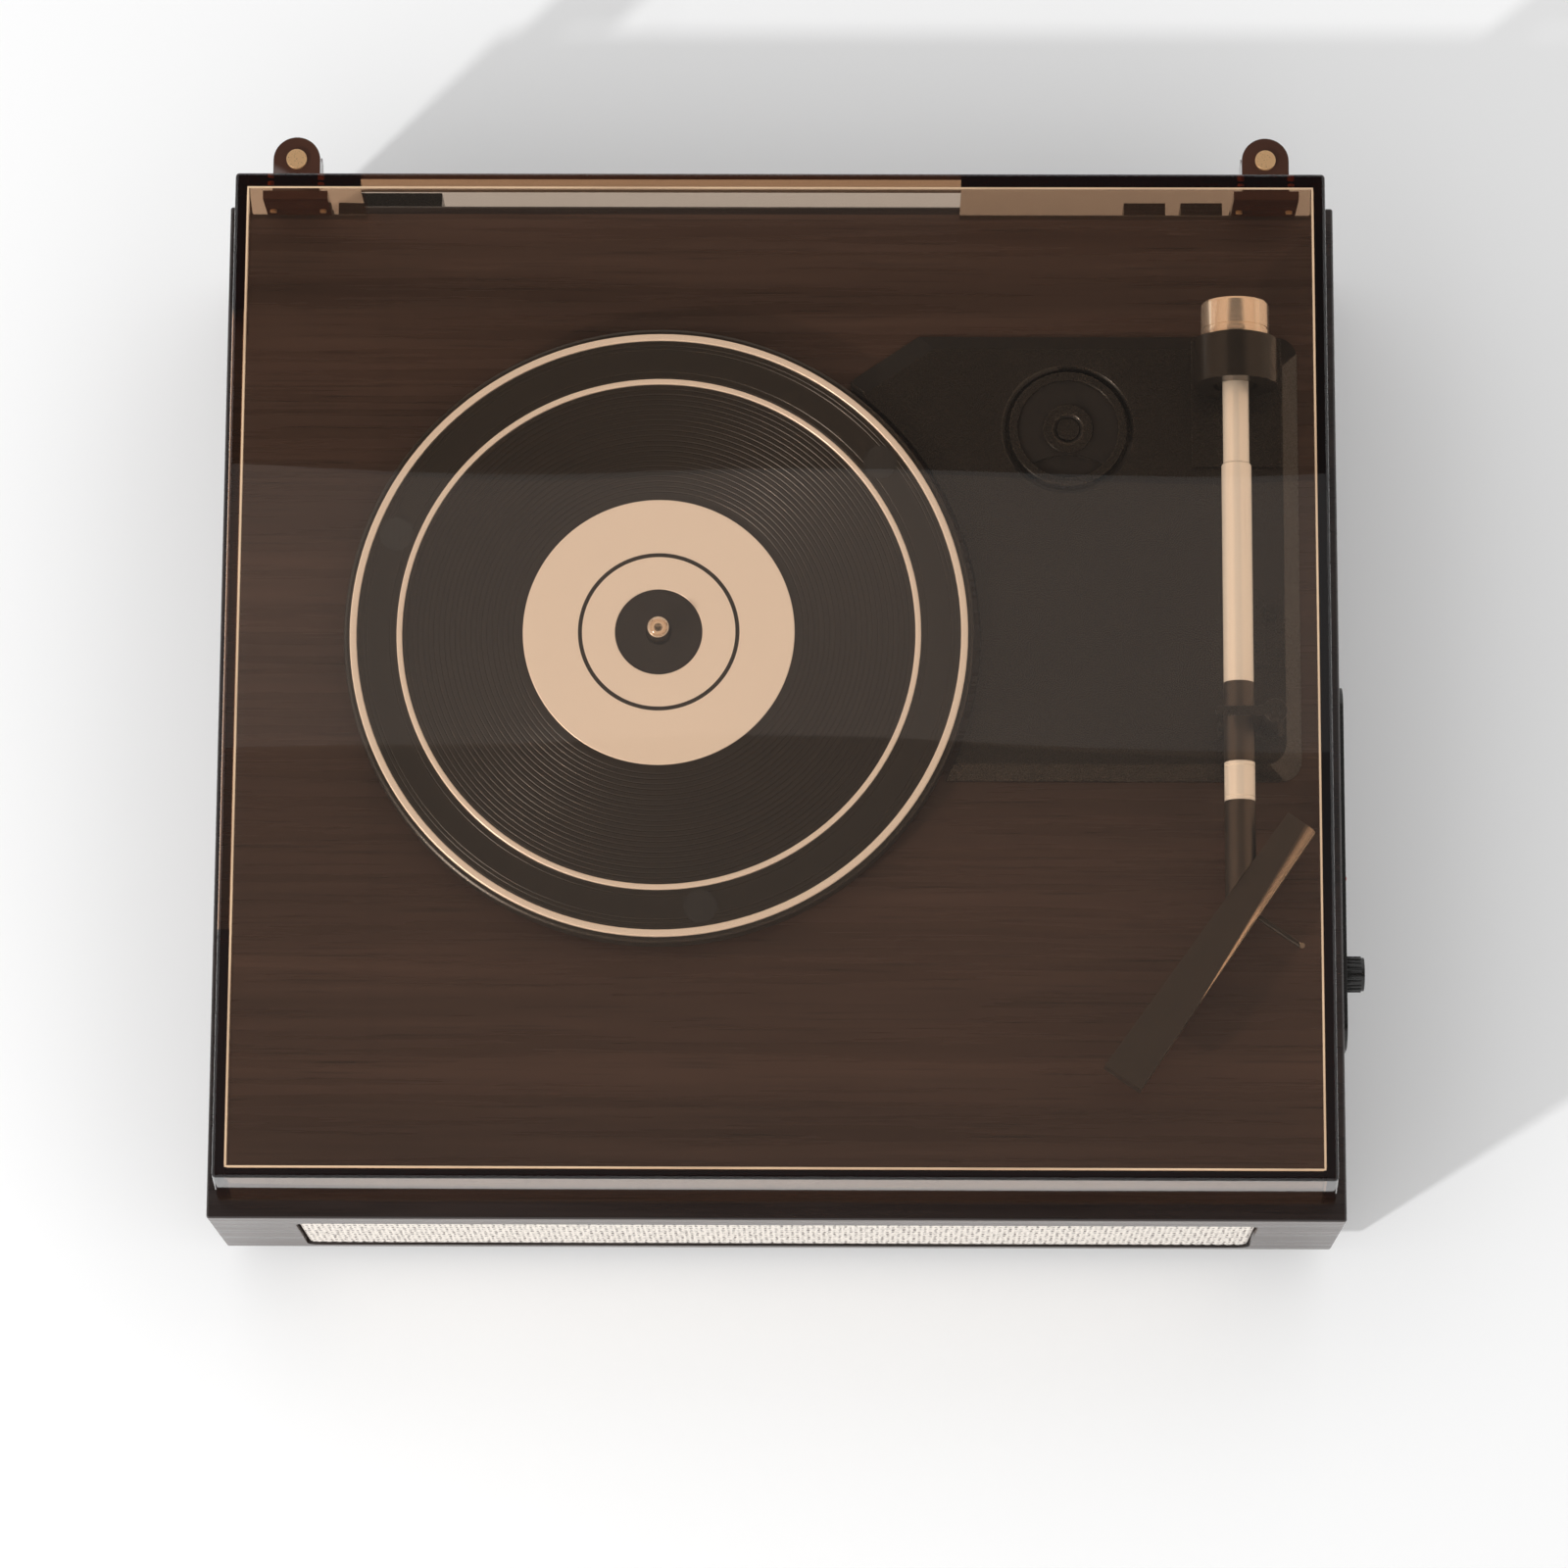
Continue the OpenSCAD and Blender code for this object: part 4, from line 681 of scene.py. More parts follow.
class Form:
    """A mesh under construction, worked in millimetres of the part's own frame."""

    def __init__(self, node: Optional[str] = None) -> None:
        """Start empty, or with a solid's mesh merged into closed faces without needless edges.

        Args:
            node: Name of the solid to take over.
        """
        self.mesh = bmesh.new()
        if node:
            self.mesh.from_mesh(frame["nodes"][node].data)
            bmesh.ops.scale(self.mesh, vec=(1 / MM,) * 3, verts=self.mesh.verts)
            bmesh.ops.remove_doubles(self.mesh, verts=self.mesh.verts, dist=SEAM_WELD)
            bmesh.ops.dissolve_limit(
                self.mesh, angle_limit=math.radians(COPLANAR), verts=self.mesh.verts, edges=self.mesh.edges,
                use_dissolve_boundaries=False,
            )
            for face in self.mesh.faces:
                face.material_index = 0

    def lathe(
        self, outline: Outline, at: Point, axis: Axis = Axis.UP, steps: int = 96, closed: bool = True
    ) -> None:
        """Spin an outline of radius and height about an axis.

        Args:
            outline: Points of radius and height along the axis.
            at: Point on the axis where the height is zero.
            axis: Direction of the axis.
            steps: Number of steps in the turn.
            closed: Whether the last point joins the first.
        """
        old = set(self.mesh.verts)
        ends = [self.mesh.verts.new((radius, 0.0, height)) for radius, height in outline]
        pairs = list(zip(ends, ends[1:])) + ([(ends[-1], ends[0])] if closed else [])
        edges = [self.mesh.edges.new(pair) for pair in pairs]
        bmesh.ops.spin(
            self.mesh, geom=ends + edges, axis=(0, 0, 1), cent=(0, 0, 0), angle=math.tau, steps=steps,
            use_merge=True, use_duplicate=False,
        )
        bmesh.ops.remove_doubles(self.mesh, verts=[v for v in self.mesh.verts if v not in old], dist=AXIS_WELD)
        fresh = [v for v in self.mesh.verts if v not in old]
        bmesh.ops.transform(self.mesh, matrix=Matrix.Translation(at) @ axis.value.to_4x4(), verts=fresh)
        bmesh.ops.recalc_face_normals(self.mesh, faces=faces_of(fresh))

    def block(self, low: Point, high: Point) -> list[Vert]:
        """Add a box between two corners and give its vertices.

        Args:
            low: Lowest corner.
            high: Highest corner.

        Returns:
            The eight vertices.
        """
        made = bmesh.ops.create_cube(self.mesh, size=1.0)["verts"]
        for v in made:
            v.co = Vector(h if c > 0 else l for c, l, h in zip(v.co, low, high))
        return made

    def cut(
        self, spot: Sequence[float], normal: Sequence[float], faces: Optional[Sequence[Face]] = None,
        dist: float = 0.0,
    ) -> list[Face]:
        """Split faces along a plane.

        Args:
            spot: Point on the plane.
            normal: Direction that the plane faces.
            faces: Faces to split, or all of them.
            dist: Distance at which a vertex counts as on the plane.

        Returns:
            The faces on both sides of the plane.
        """
        chosen = list(self.mesh.faces if faces is None else faces)
        geom = [*chosen, *edges_of(chosen), *verts_of(chosen)]
        split = bmesh.ops.bisect_plane(self.mesh, geom=geom, dist=dist, plane_co=spot, plane_no=normal)["geom"]
        fresh = [f for f in split if isinstance(f, Face)]
        return list(dict.fromkeys(fresh + [f for f in chosen if f.is_valid]))

    def sharp(self, angle: float = 40.0) -> list[Edge]:
        """Give the outward edges that turn by more than an angle in degrees."""
        limit = math.radians(angle)
        return [e for e in self.mesh.edges if e.is_manifold and e.is_convex and e.calc_face_angle() > limit]

    def ease(self, edges: Sequence[Edge], width: float, segments: int = 2) -> None:
        """Round edges off.

        Args:
            edges: Edges to round.
            width: Width of the rounding in millimetres.
            segments: Faces across the rounding.
        """
        if edges:
            bmesh.ops.bevel(
                self.mesh, geom=edges, offset=width, offset_type="OFFSET", segments=segments, profile=0.5,
                affect="EDGES", clamp_overlap=True, material=-1,
            )
        self.mesh.normal_update()

    def turn_out(self) -> None:
        """Make every face look outwards."""
        bmesh.ops.recalc_face_normals(self.mesh, faces=self.mesh.faces)

    def finish(
        self, name: str, finishes: Sequence[Finish], body: str, nodes: Sequence[str] = (), angle: float = 38.0
    ) -> bpy.types.Object:
        """Turn the form into a piece of the part.

        Args:
            name: Name of the piece.
            finishes: Finishes in the order of the faces' material index.
            body: Body that the piece rides on.
            nodes: Solids that the piece stands for.
            angle: Edges that turn by more than this many degrees stay sharp.

        Returns:
            The finished object.
        """
        bmesh.ops.scale(self.mesh, vec=(MM,) * 3, verts=self.mesh.verts)
        data = bpy.data.meshes.new(name)
        self.mesh.to_mesh(data)
        self.mesh.free()
        for finish in finishes:
            data.materials.append(finish.material())
        data.shade_smooth()
        data.set_sharp_from_angle(angle=math.radians(angle))
        piece = bpy.data.objects.new(name, data)
        bpy.context.scene.collection.objects.link(piece)
        weighted = piece.modifiers.new("even_normals", "WEIGHTED_NORMAL")
        weighted.keep_sharp = True
        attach(piece, body)
        if nodes:
            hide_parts(*nodes)
        log.info("%s: %d faces on %s", name, len(data.polygons), body)
        return piece


def eased(node: str, finish: Finish, width: float = 0.0) -> None:
    """Replace a solid by the same shape with softened outward edges.

    Args:
        node: Name of the solid.
        finish: Finish of the piece.
        width: Width of the rounding in millimetres, or zero for smooth faces alone.
    """
    form = Form(node)
    if width > 0:
        form.ease(form.sharp(), width)
    form.finish(f"{node}_eased", [finish], frame["nodes"][node]["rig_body"], [node])


def turned(
    name: str, finish: Finish, body: str, node: str, outline: Outline, at: Point, angle: float,
    axis: Axis = Axis.UP, steps: int = 160, closed: bool = True,
) -> None:
    """Replace a solid by a turned piece.

    Args:
        name: Name of the piece.
        finish: Finish of the piece.
        body: Body that the piece rides on.
        node: Solid that the piece stands for.
        outline: Points of radius and height along the axis.
        at: Point on the axis where the height is zero.
        angle: Edges that turn by more than this many degrees stay sharp.
        axis: Direction of the axis.
        steps: Number of steps in the turn.
        closed: Whether the last point joins the first.
    """
    form = Form()
    form.lathe(outline, at, axis, steps, closed)
    form.finish(name, [finish], body, [node], angle)


def keep(finish: Finish, *nodes: str) -> None:
    """Leave solids as they are and give them a finish.

    Args:
        finish: Finish to give.
        nodes: Names of the solids.
    """
    for node in nodes:
        piece = frame["nodes"][node]
        if not piece.material_slots:
            piece.data.materials.append(None)
        for place in piece.material_slots:
            place.material = finish.material()
        log.info("%s keeps its solid, in %s", node, finish.name)


# ---------------------------------------------------------------- sub-assemblies


@dataclass
class Cabinet:
    """Veneered box with its base board, feet, screws and inner blocks."""

    low: Point = (-184.45, -175.55, 8.0)
    high: Point = (175.55, 157.45, 74.7)
    edge: float = 0.8
    dark_rim: tuple[Span, Span] = ((-179.15, 170.25), (-168.65, 154.65))
    upward: float = 0.3
    sideward: float = 0.72
    feet_x: Span = (-148.45, 139.55)
    feet_y: Span = (-139.55, 121.45)
    foot_r: float = 12.0
    foot_h: float = 8.0

    def on_outer_edge(self, edge: Edge) -> bool:
        """Tell whether an edge lies along an edge of the whole box.

        Args:
            edge: Edge of a panel.

        Returns:
            True on an outer edge.
        """
        first, second = (v.co for v in edge.verts)
        shared = 0
        for axis in range(3):
            if abs(first[axis] - second[axis]) < 0.01:
                shared += any(abs(first[axis] - limit[axis]) < 0.02 for limit in (self.low, self.high))
        return shared >= 2

    def on_rim(self, place: Vector) -> bool:
        """Tell whether a place lies in the darker rim round the deck."""
        return not all(low < place[axis] < high for axis, (low, high) in enumerate(self.dark_rim))

    def panel(self, node: str) -> None:
        """Dress one panel: soft outer edges, grain that follows each face, and a darker walnut rim on top outside the
        cover.

        Args:
            node: Name of the panel.
        """
        form = Form(node)
        form.ease([e for e in form.mesh.edges if self.on_outer_edge(e)], self.edge, 3)
        if node == "deck_panel":
            for axis, places in enumerate(self.dark_rim):
                for place in places:
                    form.cut(across(axis) * place, across(axis))
        form.mesh.normal_update()
        for face in form.mesh.faces:
            # faces on the deck's rim outside the cover get the darker walnut
            rim = face.normal.z > self.upward and self.on_rim(face.calc_center_median())
            face.material_index = 2 if rim else int(abs(face.normal.x) > self.sideward)
        form.finish(f"{node}_veneered", [WALNUT, WALNUT_SIDE, DARK_RIM_WALNUT], "cabinet", [node])

    def feet(self) -> None:
        """Turn the four rubber feet, hollowed a little underneath."""
        form = Form()
        r, h = self.foot_r, self.foot_h
        outline = [
            (0.0, 0.5), (r - 4.6, 0.5), (r - 4.0, 0.15), (r - 3.4, 0.0), (r - 2.4, 0.0), (r - 1.7, 0.3),
            (r - 1.4, 1.0), (r, h - 1.0), (r - 0.25, h - 0.3), (r - 0.9, h), (0.0, h),
        ]
        for x in self.feet_x:
            for y in self.feet_y:
                form.lathe(outline, (x, y, 0.0), steps=48, closed=False)
        form.finish("rubber_feet", [RUBBER], "cabinet", ["feet"])

    def build(self) -> None:
        """Build the whole box."""
        for side in ("front", "rear", "left", "right", "deck"):
            self.panel(f"{side}_panel")
        eased("base_panel", BOARD, 0.4)
        self.feet()
        keep(BOARD, "corner_blocks", "grille_board")
        keep(STEEL, "wood_screws", "small_screws")


@dataclass
class Grille:
    """Tweed cloth stretched over the front board."""

    centre: Point = (-4.45, -174.95, 37.3)
    width: float = 305.4
    height: float = 49.4
    corner: float = 3.7
    wrap: float = 1.2
    pitch: float = 1.7
    relief: float = 0.15
    sunk: float = 0.02
    yarn: float = 0.3
    weld: float = 0.05
    sliver: float = 0.02

    def settle(self, v: Vert) -> None:
        """Move one point of the flat cloth to its stretched place with the weave's relief.

        Args:
            v: Point of the flat cloth.
        """
        half_w, half_h = self.width / 2, self.height / 2
        x, z = v.co.x, v.co.y
        inner = Vector((max(0.0, abs(x) - half_w + self.corner), max(0.0, abs(z) - half_h + self.corner)))
        if inner.length > self.corner:
            inner *= self.corner / inner.length
            x = math.copysign(half_w - self.corner + inner.x, x)
            z = math.copysign(half_h - self.corner + inner.y, z)
        margin = min(half_w - abs(x), half_h - abs(z))
        if inner.x * inner.y:
            margin = min(margin, self.corner - inner.length)
        turn = max(0.0, 1.0 - margin / self.wrap)
        over = math.cos(math.pi * x / self.pitch) * math.cos(math.pi * z / self.pitch)
        back = self.wrap * turn * turn + self.relief * (1.0 - over) * (1.0 - turn)
        v.co = Vector(self.centre) + Vector((x, self.sunk + back, z))

    def build(self) -> None:
        """Build the cloth sheet."""
        form = Form()
        form.mesh.loops.layers.uv.new("weave")
        columns, rows = (round(2 * side / self.pitch) for side in (self.width, self.height))
        made = bmesh.ops.create_grid(
            form.mesh, x_segments=columns, y_segments=rows, size=0.5,
            matrix=Matrix.Diagonal((self.width, self.height, 1.0, 1.0)), calc_uvs=True,
        )
        for v in made["verts"]:
            self.settle(v)
        bmesh.ops.remove_doubles(form.mesh, verts=form.mesh.verts, dist=self.weld)
        bmesh.ops.dissolve_degenerate(form.mesh, dist=self.sliver, edges=form.mesh.edges)
        form.turn_out()
        if sum(f.normal.y for f in form.mesh.faces) > 0:
            bmesh.ops.reverse_faces(form.mesh, faces=form.mesh.faces)
        cloth = form.finish("tweed_cloth", [TWEED], "cabinet", ["grille_cloth"], 180.0)
        wall = cloth.modifiers.new("yarn_thickness", "SOLIDIFY")
        wall.thickness = self.yarn * MM
        wall.offset = -1.0


@dataclass
class InnerWorks:
    """Speakers, amplifier, motor and the other pieces hidden in the box."""

    def build(self) -> None:
        """Give the hidden solids their finishes."""
        keep(DARK_METAL, "left_speaker", "right_speaker")
        keep(PAPER, "speaker_cones")
        keep(GREEN_BOARD, "amplifier_board")
        keep(COMPONENTS, "board_parts", "volume_control")
        keep(BRASS, "board_posts", "bearing_bush", "motor_pulley")
        keep(STEEL, "motor", "hinge_pins")
        keep(RUBBER, "belt")
        keep(BRIGHT, "yaw_shaft", "pivot_pin")


@dataclass
class Platter:
    """Platter with two gold rings, a grooved mat, record pads, a label disc and the spindle."""

    at: Point = SPINDLE
    rim_r: float = 101.0
    skirt_w: float = 3.0
    skirt_low: float = 76.7
    hub_r: float = 12.0
    hub_low: float = 76.9
    belt_ring: Span = (72.0, 75.0)
    belt_low: float = 77.2
    web_low: float = 81.7
    top: float = 84.2
    shaft_r: float = 3.03
    mat_top: float = 85.4
    ring_top: float = 85.6
    outer_r: float = 99.0
    inner_r: float = 84.0
    ring_w: float = 2.3
    inner_ring_w: float = 1.9
    fit: float = 0.2
    label_r: float = 43.5
    label_t: float = 0.5
    label_hole_r: float = 14.0
    label_line_r: float = 25.2
    label_line_w: float = 0.65
    groove: float = 1.7
    pad_angles: tuple[float, ...] = (38.5, 159.2, 278.9)
    pad_low: float = 84.6
    pad_gap: float = 0.95
    pad_proud: float = 0.05
    rib_w: float = 0.92
    rib_h: float = 0.13
    rib_cuts: int = 5
    spindle_r: float = 3.6
    spindle_foot: Point = (3.0, 49.5, 86.1)
    spindle_shoulder: float = 92.0
    spindle_tip: float = 2.4

    def disc(self) -> None:
        """Turn the platter with its skirt, belt ring and the band between the gold rings."""
        r, top, high, web, skirt = self.rim_r, self.top, self.mat_top, self.web_low, self.skirt_low
        inside, (belt_in, belt_out) = r - self.skirt_w, self.belt_ring
        band_out, band_in = self.outer_r - self.ring_w - self.fit, self.inner_r + self.fit
        outline = [
            (self.shaft_r, self.hub_low), (self.hub_r, self.hub_low), (self.hub_r, web), (belt_in, web),
            (belt_in, self.belt_low), (belt_out, self.belt_low), (belt_out, web), (inside, web), (inside, skirt),
            (r - 1.4, skirt), (r - 0.5, skirt + 0.3), (r, skirt + 1.0), (r, top - 1.1), (r - 0.25, top - 0.4),
            (r - 0.9, top), (band_out, top), (band_out, high - 0.25), (band_out - 0.25, high),
        ]
        for line in (band_out - 1.6, band_out - 2.9, band_in + 1.9):
            outline += [(line + 0.25, high), (line, high - 0.18), (line - 0.25, high)]
        outline += [(band_in + 0.25, high), (band_in, high - 0.25), (band_in, top), (self.shaft_r, top)]
        turned("turned_platter", PLATTER_BLACK, "platter", "platter", outline, self.at, 30.0)

    def ring(self, side: str, radius: float, width: float) -> None:
        """Turn the outer or the inner gold ring with a rounded top.

        Args:
            side: Which of the two, outer or inner.
            radius: Outer radius.
            width: Width of the ring.
        """
        low, high, inner = self.top, self.ring_top, radius - width
        outline = [
            (inner, low), (inner, high - 0.45), (inner + 0.15, high - 0.15), (inner + 0.5, high),
            (radius - 0.5, high), (radius - 0.15, high - 0.15), (radius, high - 0.45), (radius, low),
        ]
        turned(f"{side}_gold_ring", GOLD_RING, "platter", f"{side}_ring", outline, self.at, 50.0)

    def mat(self) -> None:
        """Turn the mat with its record-like grooves."""
        low, high, hole = self.top, self.mat_top, self.spindle_r + 0.3
        edge = self.inner_r - self.inner_ring_w - self.fit
        outline = [(hole, low), (edge, low), (edge, high - 0.3), (edge - 0.3, high)]
        radius = edge - 1.2
        while radius > self.label_r + 1.5:
            outline += [(radius, high), (radius - 0.3, high - 0.22), (radius - 0.6, high)]
            radius -= self.groove
        outline += [(self.label_hole_r - 0.6, high), (hole + 0.3, high), (hole, high - 0.3)]
        turned("grooved_mat", MAT_RUBBER, "platter", "platter_mat", outline, self.at, 20.0, steps=144)

    def pads(self) -> None:
        """Make the three ribbed pads in the band between the rings."""
        form = Form()
        reach = (self.outer_r - self.ring_w + self.inner_r) / 2
        radius = (self.outer_r - self.ring_w - self.inner_r) / 2 - self.pad_gap
        height = self.mat_top - self.pad_low + self.pad_proud
        for angle in self.pad_angles:
            turn = math.radians(angle)
            spot = Vector((reach * math.cos(turn), reach * math.sin(turn), self.pad_low)) + Vector(self.at)
            made = bmesh.ops.create_circle(
                form.mesh, cap_ends=True, radius=radius, segments=48, matrix=Matrix.Translation(spot)
            )["verts"]
            grown = bmesh.ops.extrude_face_region(form.mesh, geom=faces_of(made))["geom"]
            cap = [f for f in grown if isinstance(f, Face)]
            bmesh.ops.translate(form.mesh, vec=(0, 0, height), verts=verts_of(cap))
            for step in range(-self.rib_cuts, self.rib_cuts + 1):
                cap = form.cut(spot + across(0) * (step * self.rib_w), across(0), cap)
            ribs = [f for f in cap if math.floor((f.calc_center_median().x - spot.x) / self.rib_w) % 2 == 0]
            raised = bmesh.ops.extrude_discrete_faces(form.mesh, faces=ribs)["faces"]
            bmesh.ops.translate(form.mesh, vec=(0, 0, self.rib_h), verts=verts_of(raised))
        form.turn_out()
        form.finish("ribbed_pads", [RUBBER], "platter", ["record_pads"])

    def label(self) -> None:
        """Turn the gold label disc with a dark line let into it."""
        low, high, line, half = self.mat_top, self.mat_top + self.label_t, self.label_line_r, self.label_line_w
        form = Form()
        outline = [
            (self.label_hole_r, low), (self.label_r, low), (self.label_r, high - 0.15), (self.label_r - 0.2, high),
            (line + half, high), (line + half, high - 0.12), (line - half, high - 0.12), (line - half, high),
            (self.label_hole_r + 0.2, high), (self.label_hole_r, high - 0.15),
        ]
        form.lathe(outline, self.at, steps=144)
        for face in form.mesh.faces:
            middle = face.calc_center_median() - Vector(self.at)
            in_line = abs(middle.to_2d().length - line) < half + 0.05
            face.material_index = int(in_line and high - 0.2 < middle.z < high - 0.01)
        form.finish("label_disc_turned", [GOLD_DISC, PLATTER_BLACK], "platter", ["label_disc"], 30.0)

    def spindle(self) -> None:
        """Turn the spindle with its rounded tip."""
        r, shoulder, tip = self.spindle_r, self.spindle_shoulder, self.spindle_tip
        foot_r, foot, seat = self.spindle_foot
        outline = [(0.0, foot), (foot_r, foot), (foot_r, seat), (r, seat), (r, shoulder)]
        for turn in (math.radians(angle) for angle in range(10, 90, 10)):
            outline.append((r * math.cos(turn), shoulder + tip * math.sin(turn)))
        outline.append((0.0, shoulder + tip))
        turned("polished_spindle", CHROME, "platter", "spindle", outline, self.at, 50.0, steps=64, closed=False)

    def build(self) -> None:
        """Build the platter's pieces from the outside in."""
        self.disc()
        self.ring("outer", self.outer_r, self.ring_w)
        self.ring("inner", self.inner_r, self.inner_ring_w)
        self.mat()
        self.pads()
        self.label()
        self.spindle()


@dataclass
class ArmBase:
    """Black plate beside the platter, with the adapter, the arm rest and the speed switch."""

    edge: float = 0.35
    plate_edge: float = 0.5
    plate_angle: float = 12.0
    slope: float = 0.12
    upward: float = 0.2
    hollow: float = 0.5

    def plate(self) -> None:
        """Dress the plate, with painted shade in darker matt black on its rear slope and a painted highlight in paler
        black on its right slope.
        """
        form = Form("arm_plate")
        form.ease(form.sharp(self.plate_angle), self.plate_edge)
        for face in form.mesh.faces:
            if face.normal.z > self.upward:
                # rear slope: painted shade in darker matt black; right slope: painted highlight in paler black
                face.material_index = 1 if face.normal.y > self.slope else 2 * int(face.normal.x > self.slope)
        form.finish("bevelled_plate", [BLACK, MATT_BLACK_PAINTED_SHADE, PALE_BLACK_PAINTED_HIGHLIGHT], "cabinet", ["arm_plate"])

    def adapter(self) -> None:
        """Dress the adapter, with painted shade in darker matt black inside its hollows."""
        form = Form("single_adapter")
        floor = max(v.co.z for v in form.mesh.verts) - self.hollow
        form.ease(form.sharp(), self.edge)
        for face in form.mesh.faces:
            # hollow floors: painted shade in darker matt black
            face.material_index = int(face.normal.z > 0.5 and face.calc_center_median().z < floor)
        form.finish("hollowed_adapter", [BLACK, MATT_BLACK_PAINTED_SHADE], "adapter", ["single_adapter"])

    def build(self) -> None:
        """Build the base plate and what stands on it."""
        self.plate()
        eased("arm_block", BLACK, 0.4)
        self.adapter()
        eased("arm_rest", BLACK, self.edge)
        eased("rest_latch", BLACK, self.edge)
        eased("switch_bezel", BLACK, 0.25)
        eased("speed_switch", BLACK, 0.12)


@dataclass
class Tonearm:
    """Pivot housing, gold tube, black sleeves, head and counterweight."""

    at: Point = (141.85, 98.55, 95.2)
    core_r: float = 4.2
    tube_r: float = 4.8
    sleeve_r: float = 4.9
    spigot_r: float = 3.0
    hub_r: float = 6.0
    hub_half: float = 4.0
    tail: float = 17.9
    step: float = 33.6
    tube_end: float = 105.1
    collar_ends: Span = (130.9, 143.6)
    core_end: float = 158.0
    spigot_end: float = 180.5
    head_turn: float = 34.9
    head_tilt: float = 32.0
    head_strips: int = 10
    head_edge: float = 0.35
    highlight_low: float = 0.4
    lift_tip: float = 1.6
    weight_r: float = 10.9
    weight_ends: Span = (8.3, 19.9)

    def tube(self) -> None:
        """Turn the gold tube with its step and the spigot for the head."""
        c, t, hub, half, tail = self.core_r, self.tube_r, self.hub_r, self.hub_half, self.tail
        outline = [
            (0.0, -tail), (c - 0.3, -tail), (c, -tail + 0.3), (c, -half), (hub, -half), (hub, half),
            (c, half), (c, self.step - 0.5),
            (t - 0.2, self.step), (t, self.step + 0.4), (t, self.tube_end), (c, self.tube_end), (c, self.core_end),
            (self.spigot_r, self.core_end), (self.spigot_r, self.spigot_end), (0.0, self.spigot_end),
        ]
        turned("gold_arm_tube", GOLD_ALONG, "tonearm", "arm_tube", outline, self.at, 35.0, Axis.FRONT, 64, False)

    def collar(self) -> None:
        """Turn the gold collar with a fine line near each end."""
        (low, high), r, bore = self.collar_ends, self.sleeve_r, self.core_r + 0.03
        outline = [(bore, low), (r - 0.2, low), (r, low + 0.2)]
        for line in (low + 1.4, high - 1.4):
            outline += [(r, line - 0.2), (r - 0.2, line), (r, line + 0.2)]
        outline += [(r, high - 0.2), (r - 0.2, high), (bore, high)]
        turned("gold_collar", GOLD_ALONG, "tonearm", "arm_collar", outline, self.at, 35.0, Axis.FRONT, 64)

    def weight(self) -> None:
        """Turn the counterweight with a grip groove and rounded ends."""
        (low, high), r, bore = self.weight_ends, self.weight_r, self.core_r + 0.05
        outline = [
            (bore, low), (r - 0.6, low), (r - 0.15, low + 0.15), (r, low + 0.6), (r, low + 2.0), (r - 0.3, low + 2.2),
            (r - 0.3, low + 2.6), (r, low + 2.8), (r, high - 1.2), (r - 0.35, high - 0.35), (r - 1.2, high),
            (bore + 1.6, high), (bore + 1.4, high - 0.3), (bore, high - 0.3),
        ]
        turned(
            "gold_counterweight", GOLD_ROUND, "counterweight", "counterweight", outline, self.at, 40.0, Axis.REAR, 96
        )

    def head(self) -> None:
        """Dress the head: soft edges, and a rounded bevel that tapers along its right side, with a painted highlight
        along the bevel.
        """
        form = Form("headshell")
        # vertex attribute that carries the painted highlight on the bevel
        form.mesh.verts.layers.float.new("painted_highlight")
        form.mesh.normal_update()
        slopes = [f for f in form.mesh.faces if 0.75 < f.normal.z < 0.95 and f.normal.x > 0.2]
        slope = max(slopes, key=lambda f: f.calc_area())
        normal, own = slope.normal.copy(), set(slope.edges)
        turn = math.radians(self.head_turn)
        ahead = Vector((-math.sin(turn), -math.cos(turn), 0.0))
        tip = max(slope.verts, key=lambda v: v.co.dot(ahead)).co.copy()
        ends = sorted((v.co.copy() for v in slope.verts if (v.co - tip).length > 5.0), key=lambda place: place.z)
        form.ease([e for e in form.sharp(18.0) if e not in own], self.head_edge, 3)
        strips = [
            f for f in form.mesh.faces
            if f.normal.dot(normal) > 0.9995 and abs((f.calc_center_median() - tip).dot(normal)) < 0.02
        ]
        self.round_over(form, strips, tip, ends[-1], ends[0], normal)
        form.finish("bevelled_head", [ARM_PAINTED_HIGHLIGHT], "tonearm", ["headshell"])

    def round_over(
        self, form: Form, strips: list[Face], tip: Vector, high: Vector, low: Vector, normal: Vector
    ) -> None:
        """Split a tapering slope into strips and swell it into a rounded edge with a painted highlight.

        Args:
            form: Form that holds the slope.
            strips: Faces of the flat slope.
            tip: Point where the slope runs out.
            high: Upper end of its wide side.
            low: Lower end of its wide side.
            normal: Direction that the slope faces.
        """
        for count in range(1, self.head_strips):
            split = (high.lerp(low, count / self.head_strips) - tip).cross(normal).normalized()
            strips = form.cut(tip, split, strips, 1e-4)
        along, down = high - tip, low - tip
        share = along.dot(along) * down.dot(down) - along.dot(down) ** 2
        swell = 0.5 * (high - low).length * math.tan(math.radians(self.head_tilt / 2))
        painted_highlight = form.mesh.verts.layers.float["painted_highlight"]
        for v in verts_of(strips):
            a, d = (v.co - tip).dot(along), (v.co - tip).dot(down)
            first = (a * down.dot(down) - d * along.dot(down)) / share
            second = (d * along.dot(along) - a * along.dot(down)) / share
            reach = first + second
            if reach > 0.001:
                side = min(1.0, max(0.0, second / reach))
                v.co += normal * (4.0 * swell * reach * side * (1.0 - side))
                # painted highlight: brightest across the middle of the rounded edge, still partly bright on its lower
                # half
                least = 0.0 if side < 0.5 else self.highlight_low
                v[painted_highlight] = least + (1.0 - least) * math.sin(math.pi * side) ** 2
        form.mesh.normal_update()

